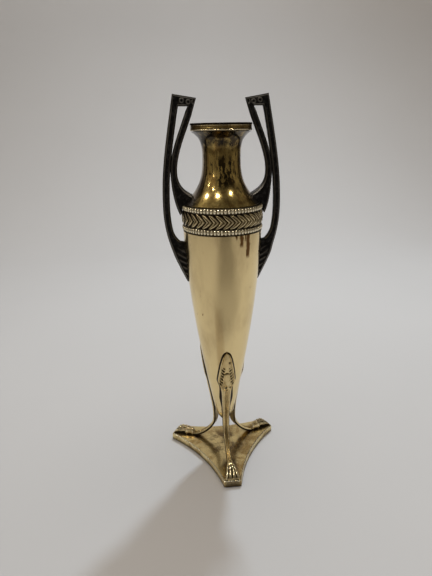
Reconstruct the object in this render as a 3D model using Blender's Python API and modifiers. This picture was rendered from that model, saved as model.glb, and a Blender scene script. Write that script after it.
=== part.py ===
"""Bud vase: a slender brass amphora held by three paw-footed legs on a three-armed base plate.

Body and neck are spun shells that lap under an ornamental band of leaves between two rows of
beads. A turned ring strengthens the mouth. Two cast double-bar handles stand on the shoulder and
on the body, and three cast legs, leaf-headed and paw-footed, hold the pointed body clear of the
base, to which a screw from below fastens each paw.

Metres, +Z up. The origin is the centre of the base plate's underside, the front leg points
towards -Y and the handles stand at +X and -X. Turned lines are lists of (radius, height).
"""

import math

import bmesh
import bpy
from mathutils import Vector

# Fits
CLEARANCE = 0.0003          # gap left between pieces that touch
TURN_STEPS = 36             # facets round each turned piece

# Base plate
BASE_REACH = 0.0390         # centre to the end of an arm
BASE_END_WIDTH = 0.0108     # square end of an arm
BASE_WAIST = 0.0193         # centre to the middle of a hollow side
BASE_THICKNESS = 0.0046
BASE_EDGE = 0.0006          # softened edges
BASE_ARMS = 3

# Body shell
BODY_RADIUS = 0.02315       # just under the band
BODY_TOP = 0.1553           # height of the ledge that carries the band
BODY_WALL = 0.0012
BODY_UPPER_PULL = 0.0398    # length of the side's upper curve handle
BODY_UPPER_LEAN = 0.03      # its lean off the vertical, radians
BODY_LOWER_PULL = 0.0398    # the same for the lower end of the side
BODY_LOWER_LEAN = 0.21
POINT_RADIUS = 0.0060       # where the side turns into the point
POINT_START = 0.0320
POINT_HEIGHT = 0.0237       # lowest point of the body
POINT_WALL = 0.0026         # metal at the bottom of the point

# Ornamental band
BAND_SEAT = 0.00085         # depth of the rebate that the rings sit in
BEAD_HEIGHT = 0.0030
BEAD_PROUD = 0.0006         # beads beyond the body's side
BEAD_NOTCH = 0.0007         # depth between two beads
BEAD_COUNT = 74
LEAF_BAND_HEIGHT = 0.0080
LEAF_BAND_PROUD = 0.0008    # middle of the leaf band beyond the body's side
LEAF_BAND_CROWN = 0.0006    # how much its edges fall back
LEAF_RELIEF = 0.00045
LEAF_COUNT = 36
LEAF_SWEEP = 0.8            # how far a leaf pair points forward, in leaf pitches

# Neck shell
NECK_WALL = 0.0012
SHOULDER_RADIUS = 0.0218
SHOULDER_EDGE = 0.0004      # upright edge of the shoulder
SHOULDER_LEAN = 0.72        # slope of the shoulder off the vertical, radians
SHOULDER_PULL = 0.0132
SKIRT_LENGTH = 0.0090       # lap inside the body's mouth
NECK_RADIUS = 0.0109        # narrowest place
NECK_RISE = 0.0259          # shoulder edge up to the narrowest place
NECK_LOWER_PULL = 0.0140
NECK_UPPER_PULL = 0.0089
FLARE_RISE = 0.0133         # narrowest place up to the mouth ring
FLARE_PULL = 0.0050
FLARE_SLOPE = 0.60          # slope of the flare at the ring off the horizontal, radians

# Mouth ring
RIM_RADIUS = 0.0174
RIM_HEIGHT = 0.0040
RIM_WIDTH = 0.0013
RIM_GROOVE = 0.0004

# Handles
HANDLE_REACH = 0.0344       # axis to the outermost face of the outer bar
HANDLE_BAR = 0.0041         # face width of the outer bar
HANDLE_INNER_BAR = 0.0038   # face width of the inner bar
HANDLE_SLIT = 0.0011        # between the bars where they run closest
HANDLE_DEPTH = 0.0034       # front to back
HANDLE_CHAMFER = 0.0011
HEAD_RISE = 0.0152          # outer top corner above the mouth ring
HEAD_DROP = 0.0022          # inner top corner below the outer one
HEAD_OUTER = 0.0265         # radius of the outer top corner
HEAD_INNER = 0.0135         # radius of the inner top corner
HEAD_HEIGHT = 0.0064        # crosspiece at its outer end
INNER_BEND_RISE = 0.0176    # bend of the inner bar above the shoulder edge
OUTER_BEND_RISE = -0.0024   # widest place of the outer bar above the shoulder edge
LOWER_FOOT_DROP = 0.0318    # tip of the lower foot below the ledge
LOWER_FOOT_LENGTH = 0.0235
LOWER_FOOT_DEPTH = 0.0074   # the lower foot spreads to this, front to back
UPPER_FOOT_DEPTH = 0.0076
UPPER_FOOT_RISE = 0.0044    # top of the upper foot above the shoulder edge
UPPER_FOOT_LAP = 0.0029     # upper foot down over the upper beads
FOOT_THROAT = 0.0022        # rounding of the corner above the lower foot
FOOT_TIP = 0.0005           # metal left at the tip of a foot
FOOT_RIB = 0.00035          # height of the ribs across the lower foot
FOOT_RIBS = 5
FOOT_SINK = 0.0020          # how deep a foot is drawn before its seat is cut

# Legs
LEAF_TIP = 0.0807           # top of the leaf head
LEAF_END = 0.0530           # the leaf has run out into the shank
LEAF_WIDTH = 0.0109
LEAF_WIDEST = 0.73          # share of the leaf's length, from its tip
LEAF_BLUNT = 0.45           # power of the outline at the tip
LEAF_WAIST = 0.45           # share of the width lost below the widest place
LEAF_THICKNESS = 0.0014
SHANK_WIDTH = 0.0046
SHANK_THICKNESS = 0.0016
LEG_EDGE = 0.6              # share of the thickness lost at the edges
SHANK_GROOVE = 0.35         # share of the thickness cut by the middle groove
LEG_LEAVES = 0.0360         # height where the shank parts from the body
SHANK_WAIST_RADIUS = 0.0060 # closest to the axis
SHANK_WAIST_HEIGHT = 0.0235
HEEL_RADIUS = 0.0225        # where the shank comes down on the base
ANKLE_WIDTH = 0.0034
PAW_WIDTH = 0.0101
PAW_HEIGHT = 0.0050         # knuckles above the base
PAW_KNUCKLE = 0.0270        # radius of the knuckles
PAW_SETBACK = 0.0010        # toes behind the end of the arm
TOE_COUNT = 4
TOE_CLEFT = 0.0011          # depth between two toes
CLAW_HEIGHT = 0.0009        # front edge of the toes

# Screws
SCREW_SHANK = 0.0026
SCREW_HEAD = 0.0058
SCREW_RECESS = 0.0003       # head above the base's underside
SCREW_BITE = 0.0030         # length inside the paw
SCREW_SLOT = 0.0008
SCREW_SLOT_DEPTH = 0.0007
SCREW_STEPS = 16

ARM_ANGLES = {
    "front": math.radians(-90),
    "rear_right": math.radians(30),
    "rear_left": math.radians(150),
}
HANDLE_ANGLES = {"right": 0.0, "left": math.pi}


def bezier(start, start_handle, end_handle, end, count):
    """count + 1 points along one cubic curve, both ends included."""
    points = []
    for i in range(count + 1):
        t = i / count
        a, b, c, d = (1 - t) ** 3, 3 * (1 - t) ** 2 * t, 3 * (1 - t) * t**2, t**3
        points.append(
            tuple(
                a * p + b * q + c * r + d * s
                for p, q, r, s in zip(start, start_handle, end_handle, end)
            )
        )
    return points


def outward(start, end):
    """Unit normal on the outer side of a step, for a line that runs downwards."""
    along = Vector((end[0] - start[0], end[1] - start[1])).normalized()
    return Vector((-along.y, along.x))


def line_normals(line):
    """Mitred outward normal at each point of a line."""
    steps = [outward(a, b) for a, b in zip(line, line[1:])]
    normals = []
    for before, after in zip(steps[:1] + steps, steps + steps[-1:]):
        middle = (before + after).normalized()
        normals.append(middle / max(0.5, middle.dot(after)))
    return normals


def offset_line(line, distance):
    """The line moved outwards by distance, or inwards by a negative one."""
    return [
        (p[0] + n.x * distance, p[1] + n.y * distance)
        for p, n in zip(line, line_normals(line))
    ]


def radius_at(line, height):
    """Radius of a downward line at a height."""
    for upper, lower in zip(line, line[1:]):
        if lower[1] <= height <= upper[1]:
            share = (upper[1] - height) / max(upper[1] - lower[1], 1e-9)
            return upper[0] + (lower[0] - upper[0]) * share
    return line[-1][0] if height < line[-1][1] else line[0][0]


def blend(start, end, share):
    """Straight mix of two numbers, held at both ends."""
    share = min(1.0, max(0.0, share))
    return start + (end - start) * share


def ease(share):
    """Smooth step, held at both ends."""
    share = min(1.0, max(0.0, share))
    return share * share * (3 - 2 * share)


# Heights of the stack, from the ledge upwards
RING_INNER = BODY_RADIUS - BAND_SEAT + CLEARANCE
LOWER_BEADS = BODY_TOP + CLEARANCE
LEAF_BAND = LOWER_BEADS + BEAD_HEIGHT + CLEARANCE
UPPER_BEADS = LEAF_BAND + LEAF_BAND_HEIGHT + CLEARANCE
BODY_MOUTH = UPPER_BEADS + BEAD_HEIGHT
SHOULDER = BODY_MOUTH + CLEARANCE + SHOULDER_EDGE
NECK_WAIST = SHOULDER + NECK_RISE
RIM_SEAT = NECK_WAIST + FLARE_RISE
RIM_BOTTOM = RIM_SEAT + CLEARANCE
RIM_TOP = RIM_BOTTOM + RIM_HEIGHT
PAW_SEAT = BASE_THICKNESS + CLEARANCE
PAW_END = BASE_REACH - PAW_SETBACK
COLLAR_RADIUS = RIM_RADIUS - RIM_WIDTH - CLEARANCE


def body_side():
    """Outside of the body, from the ledge down to the point."""
    top = (BODY_RADIUS, BODY_TOP)
    turn = (POINT_RADIUS, POINT_START)
    lower = (math.sin(BODY_LOWER_LEAN), math.cos(BODY_LOWER_LEAN))
    side = bezier(
        top,
        (
            top[0] - BODY_UPPER_PULL * math.sin(BODY_UPPER_LEAN),
            top[1] - BODY_UPPER_PULL * math.cos(BODY_UPPER_LEAN),
        ),
        (turn[0] + BODY_LOWER_PULL * lower[0], turn[1] + BODY_LOWER_PULL * lower[1]),
        turn,
        16,
    )
    drop = POINT_START - POINT_HEIGHT
    point = bezier(
        turn,
        (turn[0] - drop * 0.4 * lower[0], turn[1] - drop * 0.4 * lower[1]),
        (POINT_RADIUS * 0.37, POINT_HEIGHT),
        (0.0, POINT_HEIGHT),
        6,
    )
    return side + point[1:]


def neck_side():
    """Outside of the neck, from the mouth ring's seat down to the shoulder edge."""
    seat = (RIM_RADIUS - CLEARANCE, RIM_SEAT)
    waist = (NECK_RADIUS, NECK_WAIST)
    edge = (SHOULDER_RADIUS, SHOULDER)
    flare = bezier(
        seat,
        (
            seat[0] - FLARE_PULL * math.cos(FLARE_SLOPE),
            seat[1] - FLARE_PULL * math.sin(FLARE_SLOPE),
        ),
        (waist[0], waist[1] + NECK_UPPER_PULL),
        waist,
        8,
    )
    shoulder = bezier(
        waist,
        (waist[0], waist[1] - NECK_LOWER_PULL),
        (
            edge[0] - SHOULDER_PULL * math.sin(SHOULDER_LEAN),
            edge[1] + SHOULDER_PULL * math.cos(SHOULDER_LEAN),
        ),
        edge,
        9,
    )
    return flare + shoulder[1:]


BODY_SIDE = body_side()
NECK_SIDE = neck_side()


def band_face():
    """Outside of the leaf band without its leaves, top to bottom."""
    middle = BODY_RADIUS + LEAF_BAND_PROUD - LEAF_RELIEF
    face = []
    for i in range(5):
        across = i / 2 - 1
        radius = middle - LEAF_BAND_CROWN * across**2
        face.append((radius, LEAF_BAND + LEAF_BAND_HEIGHT * (1 - across) / 2))
    return face


def body_shell_line():
    """Body wall: up the inside from the point, over the mouth and down the outside."""
    seat = BODY_RADIUS - BAND_SEAT
    inside = [
        p
        for p in offset_line(BODY_SIDE, -BODY_WALL)[::2]
        if POINT_HEIGHT + POINT_WALL < p[1] < BODY_TOP - BAND_SEAT
    ]
    return (
        [(0.0, POINT_HEIGHT + POINT_WALL)]
        + inside[::-1]
        + [(seat - BODY_WALL, BODY_TOP), (seat - BODY_WALL, BODY_MOUTH)]
        + [(seat, BODY_MOUTH), (seat, BODY_TOP)]
        + BODY_SIDE
    )


def neck_shell_line():
    """Neck wall as a closed loop: down the outside and its skirt, up the inside."""
    skirt = BODY_RADIUS - BAND_SEAT - BODY_WALL - CLEARANCE
    skirt_end = BODY_MOUTH - SKIRT_LENGTH
    bore = COLLAR_RADIUS - NECK_WALL
    inside = [
        p
        for p in offset_line(NECK_SIDE, -NECK_WALL)[::2]
        if p[0] < (bore if p[1] > NECK_WAIST else skirt - NECK_WALL)
    ]
    collar_top = RIM_TOP - CLEARANCE
    return (
        [(COLLAR_RADIUS, collar_top), (COLLAR_RADIUS, RIM_SEAT)]
        + NECK_SIDE
        + [(SHOULDER_RADIUS, SHOULDER - SHOULDER_EDGE), (skirt, SHOULDER - SHOULDER_EDGE)]
        + [(skirt, skirt_end), (skirt - NECK_WALL, skirt_end)]
        + inside[::-1]
        + [(bore, collar_top)]
    )


def mouth_ring_line():
    """Collar round the mouth, with a shallow groove between two fillets."""
    inner = RIM_RADIUS - RIM_WIDTH
    fillet = RIM_HEIGHT / 4
    groove = RIM_RADIUS - RIM_GROOVE
    return [
        (RIM_RADIUS - RIM_GROOVE, RIM_TOP),
        (RIM_RADIUS, RIM_TOP - fillet / 2),
        (RIM_RADIUS, RIM_TOP - fillet),
        (groove, RIM_TOP - fillet * 1.5),
        (groove, RIM_BOTTOM + fillet * 1.5),
        (RIM_RADIUS, RIM_BOTTOM + fillet),
        (RIM_RADIUS, RIM_BOTTOM),
        (inner, RIM_BOTTOM),
        (inner, RIM_TOP),
    ]


def seat_line():
    """Everything that a handle stands on or passes, as one solid outline with clearance."""
    beads = BODY_RADIUS + BEAD_PROUD
    leaves = [(r + LEAF_RELIEF, z) for r, z in band_face()]
    line = (
        [(0.0, RIM_TOP), (RIM_RADIUS, RIM_TOP), (RIM_RADIUS, RIM_BOTTOM)]
        + NECK_SIDE
        + [(beads, BODY_MOUTH), (beads, UPPER_BEADS)]
        + leaves
        + [(beads, LOWER_BEADS + BEAD_HEIGHT), (beads, LOWER_BEADS)]
        + BODY_SIDE
    )
    moved = offset_line(line, CLEARANCE)
    return [(0.0, moved[0][1])] + moved[1:-1] + [(0.0, moved[-1][1])]


def screw_line(spread):
    """Countersunk screw standing on its head, spread sideways and upwards by a clearance."""
    head = SCREW_HEAD / 2 + spread
    shank = SCREW_SHANK / 2 + spread
    tip = PAW_SEAT + SCREW_BITE + spread
    neck = SCREW_RECESS + head - shank
    return [(0.0, tip), (shank, tip), (shank, neck), (head, SCREW_RECESS), (0.0, SCREW_RECESS)]


def screw_hole_line():
    """Hole for a screw, open below the base."""
    line = screw_line(CLEARANCE)
    below = -BASE_THICKNESS
    head = line[3][0]
    return line[:4] + [(head, below), (0.0, below)]


def make_material(name, colour, roughness):
    """A metal of one colour."""
    material = bpy.data.materials.new(name)
    material.use_nodes = True
    shader = material.node_tree.nodes["Principled BSDF"]
    shader.inputs["Base Color"].default_value = (*colour, 1.0)
    shader.inputs["Metallic"].default_value = 1.0
    shader.inputs["Roughness"].default_value = roughness
    return material


def add_object(name, data, home, material=None):
    """Links a new object, smooth where it is round."""
    made = bpy.data.objects.new(name, data)
    home.objects.link(made)
    if material:
        data.materials.append(material)
    return made


def smooth(mesh):
    """Shades a mesh smooth, with its creases kept."""
    mesh.shade_smooth()
    mesh.set_sharp_from_angle(angle=math.radians(35))


def turned(name, line, home, material=None, steps=TURN_STEPS):
    """A line of (radius, height) turned round the vertical axis."""
    mesh = bpy.data.meshes.new(name)
    count = len(line)
    edges = [(i, i + 1) for i in range(count - 1)]
    if line[0][0] > 0 and line[-1][0] > 0:
        edges.append((count - 1, 0))
    mesh.from_pydata([(r, 0.0, z) for r, z in line], edges, [])
    made = add_object(name, mesh, home, material)
    turn = made.modifiers.new("turn", "SCREW")
    turn.axis = "Z"
    turn.steps = steps
    turn.render_steps = steps
    turn.use_merge_vertices = True
    turn.merge_threshold = 1e-5
    turn.use_smooth_shade = True
    return made


def lofted(name, sections, ring=False):
    """Mesh through equal sections, closed into a ring or capped at both ends."""
    solid = bmesh.new()
    rows = [[solid.verts.new(point) for point in section] for section in sections]
    pairs = list(zip(rows, rows[1:]))
    if ring:
        pairs.append((rows[-1], rows[0]))
    for row, following in pairs:
        for i in range(len(row)):
            j = (i + 1) % len(row)
            solid.faces.new((row[i], row[j], following[j], following[i]))
    if not ring:
        solid.faces.new(rows[0])
        solid.faces.new(rows[-1])
    bmesh.ops.recalc_face_normals(solid, faces=solid.faces)
    mesh = bpy.data.meshes.new(name)
    solid.to_mesh(mesh)
    solid.free()
    smooth(mesh)
    return mesh


def cut(target, cutter):
    """Takes the cutter's shape out of the target."""
    modifier = target.modifiers.new("cut_" + cutter.name, "BOOLEAN")
    modifier.operation = "DIFFERENCE"
    modifier.solver = "EXACT"
    modifier.object = cutter


def hide(cutter):
    """Marks a shape that only cuts others."""
    cutter.hide_render = True
    cutter.display_type = "WIRE"


def round_point(radius, angle, height):
    """Point on a circle about the axis."""
    return Vector((radius * math.cos(angle), radius * math.sin(angle), height))


def bead_ring_mesh(name, bottom):
    """Ring whose face swells into beads, with a flat back."""
    top = bottom + BEAD_HEIGHT
    crest = BODY_RADIUS + BEAD_PROUD
    sections = []
    for i in range(2 * BEAD_COUNT):
        face = crest if i % 2 == 0 else crest - BEAD_NOTCH
        edge = face - BEAD_HEIGHT * 0.16
        angle = math.pi * i / BEAD_COUNT
        sections.append(
            [
                round_point(RING_INNER, angle, top),
                round_point(edge, angle, top),
                round_point(face, angle, (top + bottom) / 2),
                round_point(edge, angle, bottom),
                round_point(RING_INNER, angle, bottom),
            ]
        )
    return lofted(name, sections, ring=True)


def leaf_band_mesh(name):
    """Crowned band with leaf pairs that point the same way round, like a laid wreath."""
    pitch = 2 * math.pi / LEAF_COUNT
    top = LEAF_BAND + LEAF_BAND_HEIGHT
    sections = []
    for i in range(2 * LEAF_COUNT):
        angle = pitch * i / 2
        relief = LEAF_RELIEF if i % 2 == 0 else 0.0
        section = [round_point(RING_INNER, angle, top)]
        for radius, height in band_face():
            across = abs(2 * (height - LEAF_BAND) / LEAF_BAND_HEIGHT - 1)
            forward = LEAF_SWEEP * pitch * (1 - across)
            section.append(round_point(radius + relief, angle + forward, height))
        section.append(round_point(RING_INNER, angle, LEAF_BAND))
        sections.append(section)
    return lofted(name, sections, ring=True)


def outer_bar_edges():
    """(outside, inside, half depth) from the tip of the lower foot to the head's outer corner."""
    tip_height = BODY_TOP - LOWER_FOOT_DROP
    tip_radius = radius_at(BODY_SIDE, tip_height) + CLEARANCE + FOOT_TIP
    bend = SHOULDER + OUTER_BEND_RISE
    rise = bend - tip_height
    top = RIM_TOP + HEAD_RISE
    foot_top = tip_height + LOWER_FOOT_LENGTH
    lower = bezier(
        (tip_radius, tip_height),
        (tip_radius + rise * 0.18, tip_height + rise * 0.385),
        (HANDLE_REACH, bend - rise * 0.36),
        (HANDLE_REACH, bend),
        8 * FOOT_RIBS,
    )
    upper = bezier(
        (HANDLE_REACH, bend),
        (HANDLE_REACH, bend + (top - bend) * 0.32),
        (HEAD_OUTER + (top - bend) * 0.092, top - (top - bend) * 0.49),
        (HEAD_OUTER, top),
        8,
    )
    foot = [p for p in lower if p[1] < foot_top]
    bar = [p for p in lower if p[1] >= foot_top][::2] + upper[1:-1]
    edges = []
    for i, outside in enumerate(foot):
        wall = radius_at(BODY_SIDE, outside[1]) - FOOT_SINK
        inside = (wall, outside[1] + 0.1 * (outside[0] - wall))
        share = i / len(foot)
        depth = blend(0.3 * LOWER_FOOT_DEPTH, LOWER_FOOT_DEPTH, share / 0.7)
        depth = blend(depth, HANDLE_DEPTH, (share - 0.7) / 0.3)
        rib = FOOT_RIB if i % 4 < 2 and 0 < i < len(foot) - 2 else 0.0
        edges.append((outside, inside, depth / 2 + rib))
    # The bar runs upwards, so its inner side is the outward side of the line.
    for outside, normal in zip(bar, line_normals(bar)):
        near = max(0.0, 1 - (outside[1] - foot_top) / (2 * HANDLE_BAR))
        width = HANDLE_BAR + FOOT_THROAT * near**2
        inside = (outside[0] + normal.x * width, outside[1] + normal.y * width)
        edges.append((outside, inside, HANDLE_DEPTH / 2))
    return edges


def head_edges():
    """The two mitred ends of the crosspiece."""
    top = RIM_TOP + HEAD_RISE
    under = top - HEAD_HEIGHT
    lean = HEAD_HEIGHT * 0.16
    return [
        ((HEAD_OUTER, top), (HEAD_OUTER - HANDLE_BAR + lean, under), HANDLE_DEPTH / 2),
        ((HEAD_INNER, top - HEAD_DROP), (HEAD_INNER + HANDLE_INNER_BAR + lean, under), HANDLE_DEPTH / 2),
    ]


def inner_bar_edges():
    """(outside, inside, half depth) from the head's inner corner down to the upper foot."""
    start = (HEAD_INNER, RIM_TOP + HEAD_RISE - HEAD_DROP)
    reach = HANDLE_REACH - HANDLE_BAR - HANDLE_SLIT - HANDLE_INNER_BAR
    bend = (reach, SHOULDER + INNER_BEND_RISE)
    drop = start[1] - bend[1]
    bar = bezier(
        start,
        (start[0] + drop * 0.09, start[1] - drop * 0.35),
        (reach, bend[1] + drop * 0.31),
        bend,
        9,
    )[2:]
    edges = []
    for outside, normal in zip(bar, line_normals(bar)):
        width = HANDLE_INNER_BAR
        inside = (outside[0] + normal.x * width, outside[1] + normal.y * width)
        edges.append((outside, inside, HANDLE_DEPTH / 2))
    foot_height = SHOULDER + UPPER_FOOT_RISE
    foot = (radius_at(NECK_SIDE, foot_height) - FOOT_SINK / 2, foot_height)
    tip = (BODY_RADIUS + LEAF_BAND_PROUD + CLEARANCE + FOOT_TIP, UPPER_BEADS - UPPER_FOOT_LAP)
    fall = bend[1] - foot[1]
    throat = bezier(
        bend,
        (reach, bend[1] - fall * 0.62),
        (foot[0] + fall * 0.3, foot[1] + fall * 0.16),
        foot,
        8,
    )
    back = reach + HANDLE_INNER_BAR
    sweep = bend[1] - tip[1]
    heel = bezier(
        (back, bend[1]),
        (back, bend[1] - sweep * 0.42),
        (tip[0] + sweep * 0.11, tip[1] + sweep * 0.22),
        tip,
        8,
    )
    for i in range(1, 9):
        depth = blend(HANDLE_DEPTH, UPPER_FOOT_DEPTH, (i - 2) / 5)
        edges.append((throat[i], heel[i], depth / 2))
    return edges


def bar_section(outside, inside, half):
    """Chamfered oblong between two edge points, in the handle's own plane."""
    start = Vector((outside[0], 0.0, outside[1]))
    end = Vector((inside[0], 0.0, inside[1]))
    chamfer = min(HANDLE_CHAMFER, half * 0.6)
    step = (end - start).normalized() * chamfer
    depth = Vector((0.0, half, 0.0))
    shallow = Vector((0.0, half - chamfer, 0.0))
    return [
        start + step - depth,
        end - step - depth,
        end - shallow,
        end + shallow,
        end - step + depth,
        start + step + depth,
        start + shallow,
        start - shallow,
    ]


def handle_mesh(name):
    """One bar bent over from the lower foot to the upper foot, in the plane of +X and +Z."""
    edges = outer_bar_edges() + head_edges() + inner_bar_edges()
    return lofted(name, [bar_section(*edge) for edge in edges])


def leaf_width(height):
    """Width of the leaf head, and of the shank that it runs out into."""
    down = (LEAF_TIP - height) / (LEAF_TIP - LEAF_END)
    if down > 1:
        share = (LEAF_END - height) / (LEAF_END - LEG_LEAVES)
        return blend(leaf_width(LEAF_END), SHANK_WIDTH, share**0.7)
    swell = max(0.0, down / LEAF_WIDEST) ** LEAF_BLUNT
    waist = 1 - LEAF_WAIST * ease((down - LEAF_WIDEST) / (1 - LEAF_WIDEST))
    return LEAF_WIDTH * max(0.05, swell * waist)


def leg_path():
    """Stations down a leg's underside: (radius, height, curl, width, thickness, paw share)."""
    stations = []
    clear = offset_line(BODY_SIDE, CLEARANCE)
    head_steps = 15
    for i in range(head_steps + 1):
        height = blend(LEAF_TIP, LEG_LEAVES, (i / head_steps) ** 1.35)
        radius = radius_at(clear, height)
        down = (LEAF_TIP - height) / (LEAF_TIP - LEAF_END)
        thickness = blend(LEAF_THICKNESS * 0.7, LEAF_THICKNESS, down / 0.15)
        thickness = blend(thickness, SHANK_THICKNESS, down - 1)
        curl = math.cos(BODY_LOWER_LEAN) / radius
        stations.append((radius, height, curl, leaf_width(height), thickness, 0.0))
    start = (stations[-1][0], LEG_LEAVES)
    waist = (SHANK_WAIST_RADIUS, SHANK_WAIST_HEIGHT)
    pull = (LEG_LEAVES - SHANK_WAIST_HEIGHT) * 0.34
    lean = math.sin(BODY_LOWER_LEAN)
    for radius, height in bezier(
        start,
        (start[0] - pull * lean, start[1] - pull),
        (waist[0], waist[1] + pull),
        waist,
        3,
    )[1:]:
        stations.append((radius, height, 0.0, SHANK_WIDTH, SHANK_THICKNESS, 0.0))
    heel = (HEEL_RADIUS, PAW_SEAT)
    fall = waist[1] - heel[1]
    run = heel[0] - waist[0]
    sweep = bezier(
        waist,
        (waist[0], waist[1] - fall * 0.46),
        (heel[0] - run * 0.58, heel[1] + fall * 0.05),
        heel,
        8,
    )
    for i, (radius, height) in enumerate(sweep[1:], 1):
        width = blend(SHANK_WIDTH, ANKLE_WIDTH, i / 5)
        stations.append((radius, height, 0.0, width, SHANK_THICKNESS, 0.0))
    paw_steps = 9
    for i in range(1, paw_steps + 1):
        share = i / paw_steps
        radius = blend(HEEL_RADIUS, PAW_END, share)
        width = blend(ANKLE_WIDTH, PAW_WIDTH, share**1.25)
        stations.append((radius, PAW_SEAT, 0.0, width, paw_height(radius), share))
    return stations


def paw_height(radius):
    """Top of the paw above the base along its middle: up to the knuckles, then down the toes."""
    if radius < PAW_KNUCKLE:
        share = (radius - HEEL_RADIUS) / (PAW_KNUCKLE - HEEL_RADIUS)
        return blend(SHANK_THICKNESS, PAW_HEIGHT, math.sin(share * math.pi / 2) ** 2)
    share = (radius - PAW_KNUCKLE) / (PAW_END - PAW_KNUCKLE)
    return blend(PAW_HEIGHT, CLAW_HEIGHT, 0.45 * share + 0.55 * share**4)


def crown(across, thickness, paw):
    """Height of the leg's upper face at a place across it, from -1 to 1."""
    rounded = thickness * (1 - LEG_EDGE * across**4)
    groove = SHANK_GROOVE * thickness * max(0.0, 1 - abs(across) / 0.3)
    if paw == 0.0:
        return rounded - groove
    lobes = abs(math.cos(math.pi * TOE_COUNT * (across + 1) / 2))
    cleft = min(TOE_CLEFT, 0.45 * rounded) * lobes * blend(0.0, 1.0, (paw - 0.25) / 0.2)
    return rounded - cleft - groove * max(0.0, 1 - paw / 0.3)


def leg_mesh(name):
    """Leaf head, shank and paw lofted as one casting that points along +X."""
    stations = leg_path()
    line = [(s[0], s[1]) for s in stations]
    normals = line_normals(line)
    across_steps = 2 * TOE_COUNT
    places = [2 * i / across_steps - 1 for i in range(across_steps + 1)]
    sections = []
    for (radius, height, curl, width, thickness, paw), normal in zip(stations, normals):
        normal = normal.normalized()
        section = []
        rows = [(p, crown(p, thickness, paw)) for p in places]
        rows += [(p, 0.0) for p in reversed(places[::2])]
        for place, lift in rows:
            side = place * width / 2
            if curl:
                out = (1 / curl + lift) * math.cos(curl * side) - 1 / curl
                side = (1 / curl + lift) * math.sin(curl * side)
            else:
                out = lift
            section.append(
                Vector((radius + normal.x * out, side, height + normal.y * out))
            )
        sections.append(section)
    return lofted(name, sections)


def base_outline():
    """Corners of the arms joined by hollow arcs, once round."""
    points = []
    step = 2 * math.pi / BASE_ARMS
    corner = Vector((BASE_REACH, BASE_END_WIDTH / 2))
    side = Vector((math.cos(step / 2), math.sin(step / 2)))
    far = (corner.length_squared - BASE_WAIST**2) / (2 * (corner.dot(side) - BASE_WAIST))
    radius = far - BASE_WAIST
    middle = far * side
    start = math.atan2(corner.y - middle.y, corner.x - middle.x)
    half = math.remainder(math.atan2(-side.y, -side.x) - start, 2 * math.pi)
    arc_steps = 14
    for arm in range(BASE_ARMS):
        turn = ARM_ANGLES["front"] + arm * step
        for i in range(arc_steps + 1):
            angle = start + 2 * half * i / arc_steps
            place = middle + radius * Vector((math.cos(angle), math.sin(angle)))
            spread = math.atan2(place.y, place.x) + turn
            points.append((place.length * math.cos(spread), place.length * math.sin(spread)))
    return points


def base_mesh(name):
    """Flat outline raised to the plate's thickness, as a closed mesh."""
    curve = bpy.data.curves.new(name, "CURVE")
    curve.dimensions = "2D"
    curve.fill_mode = "BOTH"
    curve.extrude = BASE_THICKNESS / 2
    outline = base_outline()
    spline = curve.splines.new("POLY")
    spline.points.add(len(outline) - 1)
    for point, place in zip(spline.points, outline):
        point.co = (*place, 0.0, 1.0)
    spline.use_cyclic_u = True
    guide = bpy.data.objects.new(name + "_outline", curve)
    bpy.context.scene.collection.objects.link(guide)
    graph = bpy.context.evaluated_depsgraph_get()
    mesh = bpy.data.meshes.new_from_object(guide.evaluated_get(graph))
    bpy.data.objects.remove(guide)
    solid = bmesh.new()
    solid.from_mesh(mesh)
    bmesh.ops.remove_doubles(solid, verts=solid.verts, dist=1e-6)
    bmesh.ops.translate(solid, verts=solid.verts, vec=(0.0, 0.0, BASE_THICKNESS / 2))
    bmesh.ops.dissolve_limit(
        solid, angle_limit=math.radians(1), verts=solid.verts, edges=solid.edges
    )
    bmesh.ops.recalc_face_normals(solid, faces=solid.faces)
    solid.to_mesh(mesh)
    solid.free()
    mesh.name = name
    return mesh


def add_stand(parts, cutters, brass, tarnished, steel):
    """Base plate, legs and the screws that hold them together."""
    base = add_object("base_plate", base_mesh("base_plate"), parts, tarnished)
    soften = base.modifiers.new("soften", "BEVEL")
    soften.width = BASE_EDGE
    soften.segments = 1
    soften.limit_method = "ANGLE"
    soften.angle_limit = math.radians(50)
    casting = leg_mesh("leg")
    casting.materials.append(brass)
    slot_mesh = bpy.data.meshes.new("slot")
    slot_box = bmesh.new()
    bmesh.ops.create_cube(slot_box, size=1.0)
    bmesh.ops.scale(
        slot_box, verts=slot_box.verts, vec=(2 * SCREW_HEAD, SCREW_SLOT, 2 * SCREW_SLOT_DEPTH)
    )
    slot_box.to_mesh(slot_mesh)
    slot_box.free()
    for place, angle in ARM_ANGLES.items():
        spot = round_point(PAW_KNUCKLE, angle, 0.0)
        hole = turned("hole_" + place, screw_hole_line(), cutters, steps=SCREW_STEPS)
        hole.location = spot
        hole.rotation_euler.z = angle + math.radians(5)
        hide(hole)
        cut(base, hole)
        leg = add_object("leg_" + place, casting, parts)
        leg.rotation_euler.z = angle
        cut(leg, hole)
        screw = turned("base_screw_" + place, screw_line(0.0), parts, steel, SCREW_STEPS)
        screw.location = spot
        slot = add_object("slot_" + place, slot_mesh, cutters)
        slot.location = spot + Vector((0.0, 0.0, SCREW_RECESS))
        slot.rotation_euler.z = angle + math.radians(35)
        hide(slot)
        cut(screw, slot)


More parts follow.
